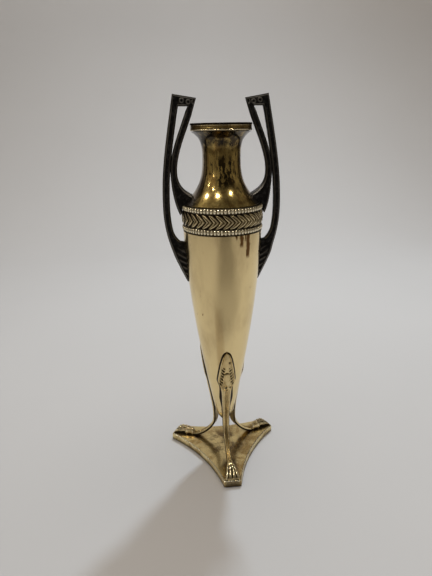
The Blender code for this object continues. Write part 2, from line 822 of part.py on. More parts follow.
def add_vessel(parts, polished, golden, beaded):
    """Body, neck, mouth ring and the three rings of the band."""
    turned("body_shell", body_shell_line(), parts, polished)
    turned("neck_shell", neck_shell_line(), parts, golden)
    turned("mouth_ring", mouth_ring_line(), parts, golden)
    for name, bottom in (("bead_ring_lower", LOWER_BEADS), ("bead_ring_upper", UPPER_BEADS)):
        add_object(name, bead_ring_mesh(name, bottom), parts, beaded)
    add_object("leaf_band", leaf_band_mesh("leaf_band"), parts, beaded)


def add_handles(parts, cutters, bronze):
    """Two equal castings, their feet cut to the vessel that they stand on."""
    seat = turned("handle_seat", seat_line(), cutters)
    hide(seat)
    casting = handle_mesh("handle")
    casting.materials.append(bronze)
    for place, angle in HANDLE_ANGLES.items():
        handle = add_object("handle_" + place, casting, parts)
        handle.rotation_euler.z = angle
        cut(handle, seat)


def main():
    """Clears the scene and builds the vase under one empty."""
    for old in list(bpy.data.objects):
        bpy.data.objects.remove(old)
    parts = bpy.data.collections.new("bud_vase")
    cutters = bpy.data.collections.new("bud_vase_cutters")
    for collection in (parts, cutters):
        bpy.context.scene.collection.children.link(collection)
    polished = make_material("polished_brass", (0.70, 0.57, 0.33), 0.22)
    golden = make_material("golden_brass", (0.46, 0.33, 0.11), 0.18)
    beaded = make_material("antique_brass", (0.42, 0.34, 0.20), 0.35)
    bronze = make_material("black_bronze", (0.030, 0.028, 0.026), 0.42)
    tarnished = make_material("tarnished_brass", (0.42, 0.32, 0.15), 0.32)
    steel = make_material("screw_brass", (0.38, 0.31, 0.20), 0.40)
    add_stand(parts, cutters, polished, tarnished, steel)
    add_vessel(parts, polished, golden, beaded)
    add_handles(parts, cutters, bronze)
    root = bpy.data.objects.new("bud_vase_root", None)
    parts.objects.link(root)
    for piece in parts.objects:
        if piece is not root:
            piece.parent = root


main()
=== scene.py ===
"""Looks of the brass bud vase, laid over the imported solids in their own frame.

Every sub-assembly is a class: the vessel, its ornamental band, the handles, the legs, the base
plate and the studio. Sizes repeat those of the solids, in metres, with +Z up, the front leg
towards -Y and the handles at +X and -X. Turned lines are lists of (radius, height). A fade is
the place where something starts and the place where it is full, and a rise adds its amounts at
both. Pulls are how far the handles of a curve reach, as shares of its height or run. A crease is
the angle in degrees above which an edge stays sharp.
"""

import logging
import math
from dataclasses import dataclass, field
from enum import Enum
from typing import Callable, Optional, Sequence

import bmesh
import bpy
from mathutils import Matrix, Vector


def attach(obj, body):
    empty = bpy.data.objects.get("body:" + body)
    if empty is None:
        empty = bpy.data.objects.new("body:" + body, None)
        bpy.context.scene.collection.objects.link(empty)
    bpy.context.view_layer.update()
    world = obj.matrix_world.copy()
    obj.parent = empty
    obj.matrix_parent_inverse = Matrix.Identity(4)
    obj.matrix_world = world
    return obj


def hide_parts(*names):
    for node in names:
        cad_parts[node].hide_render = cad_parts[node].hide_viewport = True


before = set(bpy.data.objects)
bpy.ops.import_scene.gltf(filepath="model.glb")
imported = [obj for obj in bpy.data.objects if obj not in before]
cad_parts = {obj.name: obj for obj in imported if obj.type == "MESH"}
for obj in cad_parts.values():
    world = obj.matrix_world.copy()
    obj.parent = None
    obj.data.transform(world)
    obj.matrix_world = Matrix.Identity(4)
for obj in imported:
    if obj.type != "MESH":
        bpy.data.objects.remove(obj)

LOG = logging.getLogger("bud_vase")

Mesh = bpy.types.Mesh
Material = bpy.types.Material
Piece = bpy.types.Object
Socket = bpy.types.NodeSocket
Tree = bpy.types.NodeTree
Pair = tuple[float, float]
Place = tuple[float, float, float]
Line = list[Pair]
Colour = tuple[float, float, float]
Fade = tuple[float, float]
Rise = tuple[float, float, float, float]
Pulls = tuple[float, float, float]

MM = 0.001
TINY = 1e-9
MITRE_LIMIT = 0.5
CREASE = 40.0
RING_CREASE = 60.0
NO_CREASE = 180.0
RECESS = "recess"


class Arm(Enum):
    """Arms of the base plate, by their turn about the axis in degrees."""

    FRONT = -90.0
    REAR_RIGHT = 30.0
    REAR_LEFT = 150.0


class Side(Enum):
    """Sides that carry a handle, by their turn about the axis in degrees."""

    RIGHT = 0.0
    LEFT = 180.0


class Row(Enum):
    """Rows of the ornamental band, above or below its middle."""

    UPPER = 1.0
    LOWER = -1.0


# Lines and meshes


def shares(count: int) -> list[float]:
    """Even steps from 0 to 1, both included."""
    return [i / count for i in range(count + 1)]


def blend(start: float, end: float, share: float) -> float:
    """Straight mix of two numbers, held at both ends."""
    share = min(1.0, max(0.0, share))
    return start + (end - start) * share


def ease(low: float, high: float, value: float) -> float:
    """Smooth step from 0 at low to 1 at high."""
    share = min(1.0, max(0.0, (value - low) / (high - low)))
    return share * share * (3 - 2 * share)


def bump(centre: float, reach: float, value: float) -> float:
    """Smooth hill that is 1 at its centre and 0 beyond its reach."""
    return 1 - ease(0.0, reach, abs(value - centre))


@dataclass(frozen=True)
class Hill:
    """Smooth hill on a line, full at its middle and 0 beyond its reach."""

    middle: float
    reach: float
    full: float = 1.0

    def at(self, value: float) -> float:
        """Height of the hill at a place on the line."""
        return self.full * bump(self.middle, self.reach, value)


def bezier(start: Sequence[float], pull: Sequence[float], draw: Sequence[float],
           end: Sequence[float], count: int) -> Line:
    """Points along one cubic curve.

    Args:
        start, end: the curve's ends.
        pull, draw: its handles, measured from the start and from the end.
        count: number of steps.

    Returns:
        count + 1 points, both ends included.
    """
    near, far = ([a + b for a, b in zip(*pair)] for pair in ((start, pull), (end, draw)))
    points = []
    for t in shares(count):
        weights = ((1 - t) ** 3, 3 * (1 - t) ** 2 * t, 3 * (1 - t) * t**2, t**3)
        axes = zip(start, near, far, end)
        points.append(tuple(sum(w * p for w, p in zip(weights, axis)) for axis in axes))
    return points


def line_normals(line: Line, closed: bool = False) -> list[Vector]:
    """Mitred normals to the left of a line, which is outwards where it runs down the outside.

    Args:
        line: points in a plane.
        closed: whether the last point is joined to the first.

    Returns:
        One normal for each point, longer where the line bends.
    """
    following = line[1:] + line[:1] if closed else line[1:]
    steps = []
    for (x0, y0), (x1, y1) in zip(line, following):
        along = Vector((x1 - x0, y1 - y0)).normalized()
        steps.append(Vector((-along.y, along.x)))
    earlier = steps[-1:] + steps if closed else steps[:1] + steps
    later = steps if closed else steps + steps[-1:]
    normals = []
    for before, after in zip(earlier, later):
        middle = (before + after).normalized()
        normals.append(middle / max(MITRE_LIMIT, middle.dot(after)))
    return normals


def offset_line(line: Line, distance: float) -> Line:
    """The line moved outwards, or inwards by a negative distance."""
    return [(p[0] + n.x * distance, p[1] + n.y * distance) for p, n in zip(line, line_normals(line))]


def radius_at(line: Line, height: float) -> float:
    """Radius of a downward line.

    Args:
        line: the line, from its top down.
        height: the height, held between the line's ends.

    Returns:
        The radius there.
    """
    for upper, lower in zip(line, line[1:]):
        if lower[1] <= height <= upper[1]:
            share = (upper[1] - height) / max(upper[1] - lower[1], TINY)
            return upper[0] + (lower[0] - upper[0]) * share
    return line[-1][0] if height < line[-1][1] else line[0][0]


def leaning(length: float, angle: float) -> Pair:
    """Offset along a length that leans outwards from upright by an angle."""
    return length * math.sin(angle), length * math.cos(angle)


def round_point(radius: float, angle: float, height: float) -> Vector:
    """Point on a circle about the axis."""
    return Vector((radius * math.cos(angle), radius * math.sin(angle), height))


def finish_mesh(name: str, solid: bmesh.types.BMesh, recess: Sequence[float] = (),
                crease: float = CREASE) -> Mesh:
    """Writes a worked solid to a mesh, smooth but for its creases.

    Args:
        name: name of the mesh.
        solid: the worked solid, which is freed.
        recess: how dark each vertex is painted, up to 1, for grime and painted shade, or how bright, down
            to -1, for wear and painted highlights.
        crease: angle in degrees above which an edge stays sharp.

    Returns:
        The mesh, with the recess values as an attribute.
    """
    mesh = bpy.data.meshes.new(name)
    solid.to_mesh(mesh)
    solid.free()
    if RECESS not in mesh.attributes:
        values = list(recess) or [0.0] * len(mesh.vertices)
        mesh.attributes.new(RECESS, "FLOAT", "POINT").data.foreach_set("value", values)
    mesh.shade_smooth()
    mesh.set_sharp_from_angle(angle=math.radians(crease))
    return mesh


def turned(name: str, line: Line, steps: int, crease: float = CREASE,
           depth: Optional[Callable[[float], float]] = None) -> Mesh:
    """Turns a line round the axis into a closed mesh.

    Args:
        name: name of the mesh.
        line: points down the outside; it closes on itself unless both ends are on the axis.
        steps: facets round the axis.
        crease: angle in degrees above which an edge stays sharp.
        depth: gives the recess value at a height.

    Returns:
        The turned mesh.
    """
    solid = bmesh.new()
    recess = []
    rings = []
    for radius, height in line:
        value = depth(height) if depth else 0.0
        count = 1 if radius < TINY else steps
        angles = [2 * math.pi * i / steps for i in range(count)]
        rings.append([solid.verts.new(round_point(radius, angle, height)) for angle in angles])
        recess += [value] * count
    pairs = list(zip(rings, rings[1:]))
    if len(rings[0]) > 1 and len(rings[-1]) > 1:
        pairs.append((rings[-1], rings[0]))
    for upper, lower in pairs:
        for i in range(steps):
            j = (i + 1) % steps
            corners = [upper[i % len(upper)], lower[i % len(lower)],
                       lower[j % len(lower)], upper[j % len(upper)]]
            solid.faces.new(list(dict.fromkeys(corners)))
    bmesh.ops.recalc_face_normals(solid, faces=solid.faces)
    return finish_mesh(name, solid, recess, crease)


def skin(solid: bmesh.types.BMesh, rows: Sequence[list], closed: bool = True) -> None:
    """Joins rows of vertices by four-sided faces, with each row closed on itself or open."""
    for row, following in zip(rows, rows[1:]):
        for i in range(len(row) if closed else len(row) - 1):
            j = (i + 1) % len(row)
            solid.faces.new((row[i], row[j], following[j], following[i]))


def lofted(name: str, sections: Sequence[Sequence[Vector]], recess: Sequence[float] = (),
           crease: float = CREASE) -> Mesh:
    """Skins equal closed sections and caps both ends.

    Args:
        name: name of the mesh.
        sections: rings of points with one count.
        recess: recess value of each point, section by section.
        crease: angle in degrees above which an edge stays sharp.

    Returns:
        The closed mesh.
    """
    solid = bmesh.new()
    rows = [[solid.verts.new(point) for point in section] for section in sections]
    skin(solid, rows)
    solid.faces.new(rows[0])
    solid.faces.new(rows[-1])
    bmesh.ops.recalc_face_normals(solid, faces=solid.faces)
    return finish_mesh(name, solid, recess, crease)


def joined(name: str, meshes: Sequence[Mesh]) -> Mesh:
    """One mesh that holds several, with their recess values kept."""
    solid = bmesh.new()
    for mesh in meshes:
        solid.from_mesh(mesh)
    mesh = bpy.data.meshes.new(name)
    solid.to_mesh(mesh)
    solid.free()
    return mesh


def placed(name: str, data: bpy.types.ID) -> Piece:
    """Links a mesh, a lamp or a camera as an object at the origin."""
    piece = bpy.data.objects.new(name, data)
    bpy.context.scene.collection.objects.link(piece)
    return piece


def baked(name: str, piece: Piece) -> Mesh:
    """Turns an object with modifiers into a plain mesh.

    Args:
        name: name of the mesh.
        piece: the object, which is removed.

    Returns:
        The mesh with the modifiers applied.
    """
    graph = bpy.context.evaluated_depsgraph_get()
    mesh = bpy.data.meshes.new_from_object(
        piece.evaluated_get(graph), preserve_all_data_layers=True, depsgraph=graph
    )
    mesh.name = name
    bpy.data.objects.remove(piece)
    return mesh


def cut_from(name: str, mesh: Mesh, cutters: Sequence[Mesh]) -> Mesh:
    """Takes shapes out of a mesh.

    Args:
        name: name of the result.
        mesh: the closed mesh to cut.
        cutters: the closed shapes to take out.

    Returns:
        A new mesh.
    """
    body = placed(name, mesh)
    tools = [placed(name + "_cutter", cutter) for cutter in cutters]
    for tool in tools:
        step = body.modifiers.new("cut", "BOOLEAN")
        step.operation = "DIFFERENCE"
        step.solver = "EXACT"
        step.object = tool
    result = baked(name, body)
    for tool in tools:
        bpy.data.objects.remove(tool)
    result.shade_smooth()
    result.set_sharp_from_angle(angle=math.radians(CREASE))
    return result


def dress(piece: Piece, material: Material, slot: str, *nodes: str) -> None:
    """Gives a piece its material and its place in the frame.

    Args:
        piece: a finished object at the origin.
        material: its only material.
        slot: the record's material slot.
        nodes: the solids that it stands for.
    """
    piece.data.materials.clear()
    piece.data.materials.append(material)
    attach(piece, "root")
    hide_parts(*nodes)
    LOG.info("%s: %d faces, %s", piece.name, len(piece.data.polygons), slot)


def dress_copies(name: str, mesh: Mesh, places: type[Enum],
                 material: Material, slot: str, node: str) -> None:
    """Dresses one copy of a casting for each of its places round the axis.

    Args:
        name, node: names of the copies and of their solids, before the name of the place.
        mesh: the casting, pointing along +X.
        places: the places, by their turn about the axis in degrees.
        material, slot: the copies' material and the record's slot for it.
    """
    for place in places:
        label = "_" + place.name.lower()
        copy = mesh.copy()
        copy.name = name + label
        copy.transform(Matrix.Rotation(math.radians(place.value), 4, "Z"))
        dress(placed(copy.name, copy), material, slot, node + label)


# Node trees


class Sheet:
    """Places and wires the nodes of one tree."""

    def __init__(self, tree: Tree, effects: Optional["SharedEffects"] = None) -> None:
        """Starts on a tree, with the shared effects if it is to use them."""
        self.tree = tree
        self.effects = effects

    def add(self, kind: str, inputs: Optional[dict] = None, **settings: object) -> bpy.types.Node:
        """Adds a node.

        Args:
            kind: type name of the node.
            inputs: value, or socket to link, for each input name or index.
            settings: properties of the node.

        Returns:
            The new node.
        """
        node = self.tree.nodes.new(kind)
        for key, value in settings.items():
            setattr(node, key, value)
        for key, value in (inputs or {}).items():
            self.feed(node.inputs[key], value)
        return node

    def feed(self, socket: Socket, value: object) -> None:
        """Links a socket to another, or sets its value."""
        if isinstance(value, Socket):
            self.tree.links.new(value, socket)
        else:
            socket.default_value = value

    def place(self, space: str = "Object") -> Socket:
        """The shaded point in one of the coordinate spaces."""
        return self.add("ShaderNodeTexCoord").outputs[space]

    def parts(self, space: str = "Object") -> bpy.types.NodeOutputs:
        """X, Y and Z of the shaded point."""
        return self.add("ShaderNodeSeparateXYZ", {0: self.place(space)}).outputs

    def math(self, operation: str, first: object, second: object = 0.0, third: object = 0.0) -> Socket:
        """Result of one sum."""
        values = {0: first, 1: second, 2: third}
        return self.add("ShaderNodeMath", values, operation=operation).outputs[0]

    def product(self, first: object, *others: object) -> Socket:
        """All the values multiplied."""
        for other in others:
            first = self.math("MULTIPLY", first, other)
        return first

    def largest(self, first: object, *others: object) -> Socket:
        """The largest of the values."""
        for other in others:
            first = self.math("MAXIMUM", first, other)
        return first

    def apart(self, value: object, middle: float) -> Socket:
        """Distance of a value from a middle."""
        return self.math("ABSOLUTE", self.math("SUBTRACT", value, middle))

    def vector(self, operation: str, output: str, *inputs: object) -> Socket:
        """Named result of one sum with vectors."""
        node = self.add("ShaderNodeVectorMath", dict(enumerate(inputs)), operation=operation)
        return node.outputs[output]

    def noise(self, place: object, scale: object, detail: float, rough: object = 0.5) -> Socket:
        """Cloudy noise at a place, from about 0 to 1."""
        values = {"Vector": place, "Scale": scale, "Detail": detail, "Roughness": rough}
        return self.add("ShaderNodeTexNoise", values).outputs[0]

    def mix(self, factor: object, first: object, second: object) -> Socket:
        """Colour between two colours."""
        node = self.add("ShaderNodeMix", {0: factor}, data_type="RGBA")
        for index, value in ((6, first), (7, second)):
            if not isinstance(value, Socket):
                value = (*value, 1.0)
            self.feed(node.inputs[index], value)
        return node.outputs[2]

    def step(self, value: object, low: object, high: object, start: float = 0.0,
             end: float = 1.0) -> Socket:
        """Smooth step of a value.

        Args:
            value: the value, or the socket that gives it.
            low, high: where the step begins and ends.
            start, end: what it gives there.

        Returns:
            The step's result.
        """
        node = self.add(
            "ShaderNodeMapRange",
            {"Value": value, "From Min": low, "From Max": high, "To Min": start, "To Max": end},
            interpolation_type="SMOOTHSTEP",
        )
        return node.outputs["Result"]


def new_tree(name: str, kind: str, inputs: Sequence[tuple[str, str]],
             outputs: Sequence[tuple[str, str]]) -> tuple:
    """Starts a node group.

    Args:
        name: name of the group.
        kind: type of its tree.
        inputs, outputs: (name, socket type) of each socket.

    Returns:
        Its sheet, its group input node and its group output node.
    """
    tree = bpy.data.node_groups.new(name, kind)
    for in_out, sockets in (("INPUT", inputs), ("OUTPUT", outputs)):
        for label, socket_type in sockets:
            tree.interface.new_socket(label, in_out=in_out, socket_type=socket_type)
    sheet = Sheet(tree)
    return sheet, sheet.add("NodeGroupInput"), sheet.add("NodeGroupOutput")


def new_material(name: str, effects: Optional["SharedEffects"] = None) -> tuple:
    """Starts a node material: the material, its sheet and its shader."""
    made = bpy.data.materials.new(name)
    made.use_nodes = True
    return made, Sheet(made.node_tree, effects), made.node_tree.nodes["Principled BSDF"]


FLOAT = "NodeSocketFloat"
VECTOR = "NodeSocketVector"
GEOMETRY = "NodeSocketGeometry"


@dataclass
class SharedEffects:
    """Shader groups that the metals share."""

    cloud_detail: float = 5.0
    breakup_scale: float = 900.0
    breakup_detail: float = 3.0
    breakup_amount: float = 0.3
    grime_and_shade: Fade = (0.25, 0.75)
    wear: Fade = (-0.15, -0.85)
    cloud: Tree = field(init=False)
    dirt_and_painted_light: Tree = field(init=False)

    def __post_init__(self) -> None:
        """Builds both groups."""
        self.cloud = self._cloud()
        self.dirt_and_painted_light = self._dirt()

    def _cloud(self) -> Tree:
        """Soft patches in the object's own space, stretched as wanted."""
        sheet, given, result = new_tree(
            "cloud_mask",
            "ShaderNodeTree",
            [("Scale", FLOAT), ("Stretch", VECTOR), ("Low", FLOAT), ("High", FLOAT), ("Rough", FLOAT)],
            [("Mask", FLOAT)],
        )
        values = given.outputs
        stretched = sheet.vector("MULTIPLY", "Vector", sheet.place(), values["Stretch"])
        noise = sheet.noise(stretched, values["Scale"], self.cloud_detail, values["Rough"])
        sheet.feed(result.inputs["Mask"], sheet.step(noise, values["Low"], values["High"]))
        return sheet.tree

    def _dirt(self) -> Tree:
        """Old polish, grime and painted shade in the recesses, and wear and painted highlights on the
        edges, broken up a little.
        """
        sheet, _, result = new_tree(
            "recess_dirt_and_painted_light", "ShaderNodeTree", [], [("Mask", FLOAT), ("Wear", FLOAT)]
        )
        deep = sheet.add("ShaderNodeAttribute", attribute_name=RECESS).outputs["Fac"]
        noise = sheet.noise(sheet.place(), self.breakup_scale, self.breakup_detail)
        swing = sheet.math("SUBTRACT", noise, 0.5)
        total = sheet.math("MULTIPLY_ADD", swing, self.breakup_amount, deep)
        # the first mask is grime with painted shade, the second is wear with painted highlights
        sheet.feed(result.inputs["Mask"], sheet.step(total, *self.grime_and_shade))
        sheet.feed(result.inputs["Wear"], sheet.step(total, *self.wear))
        return sheet.tree


@dataclass(frozen=True)
class Cloud:
    """Values of one use of the cloud mask."""

    scale: float
    stretch: tuple[float, float, float] = (1.0, 1.0, 1.0)
    low: float = 0.45
    high: float = 0.65
    rough: float = 0.6

    def mask(self, sheet: Sheet) -> Socket:
        """Adds the group to a material with these values."""
        values = {"Scale": self.scale, "Stretch": self.stretch, "Low": self.low,
                  "High": self.high, "Rough": self.rough}
        return sheet.add("ShaderNodeGroup", values, node_tree=sheet.effects.cloud).outputs["Mask"]


@dataclass(frozen=True)
class MetalFinish:
    """One metal: its clean colour, its tarnish, its grime with painted shade, its wear with painted
    highlights and how it was polished.
    """

    name: str
    slot: str
    clean: Colour
    tarnish: Colour
    grime_and_shade: Colour = (0.035, 0.024, 0.012)
    worn: Colour = (0.80, 0.66, 0.40)
    roughness: float = 0.25
    dull: float = 0.25
    patches: Cloud = Cloud(90.0)
    patch_amount: float = 0.6
    polish: Cloud = Cloud(1200.0, (1.0, 1.0, 0.08), 0.3, 0.7)
    polish_spread: float = 0.06
    polish_height: float = 0.002 * MM
    polish_strength: float = 0.5
    grime_and_shade_dull: float = 0.3
    metallic: float = 1.0

    def patch_mask(self, sheet: Sheet) -> Socket:
        """Where the tarnish lies."""
        return sheet.product(self.patches.mask(sheet), self.patch_amount)

    def ground(self, sheet: Sheet, patch: Socket) -> Socket:
        """Colour of the metal under its wear, grime and painted light."""
        return sheet.mix(patch, self.clean, self.tarnish)

    def material(self, effects: SharedEffects) -> Material:
        """Builds the node material.

        Args:
            effects: the shared shader groups.

        Returns:
            A material for pieces with or without recess values.
        """
        made, sheet, shader = new_material(self.name, effects)
        patch = self.patch_mask(sheet)
        dirt_and_painted_light = sheet.add("ShaderNodeGroup", node_tree=effects.dirt_and_painted_light)
        grime_and_shade = dirt_and_painted_light.outputs["Mask"]
        polish = self.polish.mask(sheet)
        colour = self.ground(sheet, patch)
        # wear with painted highlights, then grime with painted shade, from the recess values
        colour = sheet.mix(dirt_and_painted_light.outputs["Wear"], colour, self.worn)
        colour = sheet.mix(grime_and_shade, colour, self.grime_and_shade)
        sheet.feed(shader.inputs["Base Color"], colour)
        rough = sheet.math("MULTIPLY_ADD", polish, self.polish_spread, self.roughness)
        rough = sheet.math("MULTIPLY_ADD", patch, self.dull, rough)
        rough = sheet.math("MULTIPLY_ADD", grime_and_shade, self.grime_and_shade_dull, rough)
        sheet.feed(shader.inputs["Roughness"], rough)
        shader.inputs["Metallic"].default_value = self.metallic
        relief = sheet.add(
            "ShaderNodeBump",
            {"Strength": self.polish_strength, "Distance": self.polish_height, "Height": polish},
        )
        sheet.feed(shader.inputs["Normal"], relief.outputs["Normal"])
        return made


@dataclass(frozen=True)
class Drip:
    """One brown run down the front of the body."""

    middle: float
    half: float
    low: float


@dataclass(frozen=True)
class BodyFinish(MetalFinish):
    """Pale body brass with brown drips that ran down from the band, and a few specks."""

    drips: tuple[Drip, ...] = (
        Drip(5.2 * MM, 0.9 * MM, 151.4 * MM),
        Drip(8.2 * MM, 1.5 * MM, 146.8 * MM),
        Drip(10.4 * MM, 0.9 * MM, 150.0 * MM),
        Drip(12.1 * MM, 1.7 * MM, 140.4 * MM),
    )
    drip_core: float = 0.3
    drip_end: float = 3.5 * MM
    drip_front: Fade = (-8.0 * MM, -14.0 * MM)
    waver: Cloud = Cloud(330.0, (1.0, 1.0, 0.6), 0.3, 0.7)
    waver_width: float = 0.8 * MM
    stain: Rise = (154.3 * MM, 155.3 * MM, 0.0, 0.25)
    specks: Cloud = Cloud(420.0, (1.0, 1.0, 0.8), 0.70, 0.74, 0.5)
    most: float = 0.96

    def patch_mask(self, sheet: Sheet) -> Socket:
        """Where the tarnish lies: faint clouds, the drips at the front and the specks.

        Args:
            sheet: the material's sheet.

        Returns:
            The mask, from 0 to 1.
        """
        soft = super().patch_mask(sheet)
        parts = sheet.parts()
        waver = self.waver.mask(sheet)
        aside = sheet.math("MULTIPLY_ADD", waver, self.waver_width, parts["X"])
        runs = sheet.step(parts["Z"], *self.stain)
        for drip in self.drips:
            gap = sheet.apart(aside, drip.middle + self.waver_width / 2)
            across = sheet.step(gap, drip.half, drip.half * self.drip_core)
            down = sheet.step(parts["Z"], drip.low, drip.low + self.drip_end)
            runs = sheet.largest(runs, sheet.product(across, down))
        front = sheet.product(runs, sheet.step(parts["Y"], *self.drip_front))
        total = sheet.largest(soft, front, self.specks.mask(sheet))
        return sheet.math("MINIMUM", total, self.most)


@dataclass(frozen=True)
class NeckFinish(MetalFinish):
    """Deep golden neck with dark upright streaks and a dark bloom under the mouth."""

    amber: Colour = (0.36, 0.20, 0.055)
    amber_cloud: Cloud = Cloud(250.0, (1.0, 1.0, 0.35), 0.47, 0.62, 0.75)
    amber_amount: float = 0.7
    film: Colour = (0.58, 0.54, 0.53)
    film_side: Rise = (1.0 * MM, 9.0 * MM, 0.0, 0.75)
    bloom: Colour = (0.021, 0.020, 0.022)
    bloom_cloud: Cloud = Cloud(260.0, (1.0, 1.0, 0.7), 0.35, 0.65, 0.7)
    bloom_rise: Rise = (199.0 * MM, 205.5 * MM, 0.0, 0.95)
    bloom_even: float = 0.6
    bloom_most: float = 0.92
    streaks: Cloud = Cloud(430.0, (1.0, 1.0, 0.28), 0.52, 0.60, 0.75)
    streak_foot: Fade = (172.0 * MM, 180.0 * MM)
    streak_head: Fade = (209.0 * MM, 203.0 * MM)
    streak_amount: float = 0.95
    burns: Cloud = Cloud(520.0, (1.0, 1.0, 0.25), 0.445, 0.50, 0.75)
    burn_middle: Pair = (0.8 * MM, 188.5 * MM)
    burn_reach: Pair = (7.0 * MM, 12.0 * MM)
    burn_core: float = 0.5
    burn_front: Fade = (-4.0 * MM, -8.0 * MM)

    def burnt(self, sheet: Sheet) -> Socket:
        """Where the front of the neck is nearly black."""
        parts = sheet.parts()
        near = sheet.step(parts["Y"], *self.burn_front)
        for axis, middle, reach in zip("XZ", self.burn_middle, self.burn_reach):
            gap = sheet.apart(parts[axis], middle)
            near = sheet.product(near, sheet.step(gap, reach, reach * self.burn_core))
        return sheet.product(near, self.burns.mask(sheet))

    def patch_mask(self, sheet: Sheet) -> Socket:
        """Where the tarnish lies: clouds everywhere and streaks along the neck.

        Args:
            sheet: the material's sheet.

        Returns:
            The mask, from 0 to 1.
        """
        soft = super().patch_mask(sheet)
        height = sheet.parts()["Z"]
        streaks = sheet.product(
            sheet.step(height, *self.streak_foot),
            sheet.step(height, *self.streak_head),
            self.streaks.mask(sheet),
        )
        streaks = sheet.largest(streaks, self.burnt(sheet))
        return sheet.largest(soft, sheet.product(streaks, self.streak_amount))

    def ground(self, sheet: Sheet, patch: Socket) -> Socket:
        """Golden brass with amber clouds and streaks, grey by the handles, dark under the mouth.

        Args:
            sheet: the material's sheet.
            patch: where the tarnish lies.

        Returns:
            The colour under wear and grime.
        """
        warm = sheet.product(self.amber_cloud.mask(sheet), self.amber_amount)
        colour = sheet.mix(warm, self.clean, self.amber)
        parts = sheet.parts()
        beside = sheet.math(
            "SUBTRACT", sheet.math("ABSOLUTE", parts["X"]), sheet.math("ABSOLUTE", parts["Y"])
        )
        hidden = sheet.step(beside, *self.film_side)
        colour = sheet.mix(hidden, colour, self.film)
        colour = sheet.mix(patch, colour, self.tarnish)
        rise = sheet.step(parts["Z"], *self.bloom_rise)
        cloud = sheet.math("ADD", self.bloom_cloud.mask(sheet), self.bloom_even)
        cover = sheet.math("MINIMUM", sheet.product(rise, cloud), self.bloom_most)
        return sheet.mix(cover, colour, self.bloom)


@dataclass(frozen=True)
class BaseFinish(MetalFinish):
    """Glossy base brass, mottled all over, with painted shade round the middle and painted shade and leg
    reflections along the legs.
    """

    shade: Colour = (0.070, 0.045, 0.040)
    mottle: Cloud = Cloud(170.0, low=0.38, high=0.62, rough=0.7)
    middle: Rise = (21.0 * MM, 7.35 * MM, 0.0, 0.75)
    leg_along: Fade = (14.0 * MM, 21.0 * MM)
    leg_across: Fade = (6.0 * MM, 3.0 * MM)
    leg_amount: float = 0.48
    leg_mottle: float = 0.3

    def ground(self, sheet: Sheet, patch: Socket) -> Socket:
        """Mottled brass with painted shade round the middle and strips of painted shade and leg
        reflections under the legs.

        Args:
            sheet: the material's sheet.
            patch: where the tarnish lies.

        Returns:
            The colour under wear and grime.
        """
        colour = super().ground(sheet, patch)
        place = sheet.place()
        flat = sheet.vector("MULTIPLY", "Vector", place, (1.0, 1.0, 0.0))
        reach = sheet.vector("LENGTH", "Value", flat)
        cloud = self.mottle.mask(sheet)
        cover = sheet.product(sheet.step(reach, *self.middle), cloud)
        patchy = sheet.math("MULTIPLY_ADD", cloud, self.leg_mottle, self.leg_amount)
        # strips of painted shade and painted leg reflection along each arm
        for arm in Arm:
            turn = math.radians(arm.value)
            ahead = (math.cos(turn), math.sin(turn), 0.0)
            aside = (-math.sin(turn), math.cos(turn), 0.0)
            along = sheet.vector("DOT_PRODUCT", "Value", place, ahead)
            across = sheet.math("ABSOLUTE", sheet.vector("DOT_PRODUCT", "Value", place, aside))
            strip = sheet.product(
                sheet.step(across, *self.leg_across), sheet.step(along, *self.leg_along), patchy
            )
            cover = sheet.largest(cover, strip)
        return sheet.mix(cover, colour, self.shade)


BODY_BRASS = BodyFinish(
    "body_brass", "polished_brass", (0.91, 0.725, 0.385), (0.13, 0.055, 0.013),
    grime_and_shade=(0.06, 0.042, 0.02), roughness=0.14, dull=0.15, polish_spread=0.05,
    patches=Cloud(62.0, (1.0, 1.0, 0.35), 0.42, 0.78, 0.66), patch_amount=0.32,
)
NECK_BRASS = NeckFinish(
    "neck_brass", "golden_brass", (0.78, 0.56, 0.19), (0.022, 0.012, 0.006),
    roughness=0.10, dull=0.08,
    patches=Cloud(130.0, (1.0, 1.0, 0.5), 0.44, 0.66, 0.7), patch_amount=0.5,
)
RIM_BRASS = MetalFinish(
    "rim_brass", "golden_brass", (0.46, 0.32, 0.11), (0.085, 0.048, 0.016),
    grime_and_shade=(0.014, 0.010, 0.008), worn=(0.90, 0.78, 0.54), roughness=0.17,
    patches=Cloud(160.0, low=0.38, high=0.62), patch_amount=0.8,
)
LEAF_BRASS = MetalFinish(
    "leaf_brass", "antique_brass", (0.47, 0.36, 0.17), (0.135, 0.085, 0.045),
    grime_and_shade=(0.020, 0.013, 0.008), worn=(0.86, 0.73, 0.46), roughness=0.20,
    patches=Cloud(170.0, low=0.46, high=0.64, rough=0.7), patch_amount=0.75,
)
BEAD_BRASS = MetalFinish(
    "bead_brass", "antique_brass", (0.78, 0.64, 0.38), (0.36, 0.26, 0.14),
    grime_and_shade=(0.028, 0.019, 0.012), worn=(1.0, 0.90, 0.66), roughness=0.18,
    patches=Cloud(140.0, low=0.46, high=0.68, rough=0.7), patch_amount=0.5, metallic=0.85,
)
LEG_BRASS = MetalFinish(
    "leg_brass", "leg_brass", (0.80, 0.63, 0.32), (0.22, 0.14, 0.05),
    grime_and_shade=(0.024, 0.016, 0.008), worn=(0.90, 0.77, 0.50), roughness=0.16,
    patches=Cloud(170.0, (1.0, 1.0, 0.6), 0.42, 0.66, 0.7), patch_amount=0.5,
)
BASE_BRASS = BaseFinish(
    "base_brass", "tarnished_brass", (0.99, 0.81, 0.41), (0.47, 0.31, 0.115),
    grime_and_shade=(0.06, 0.042, 0.022), worn=(1.0, 0.90, 0.64), roughness=0.19, dull=0.08,
    patches=Cloud(105.0, low=0.45, high=0.62, rough=0.7), patch_amount=0.8,
)
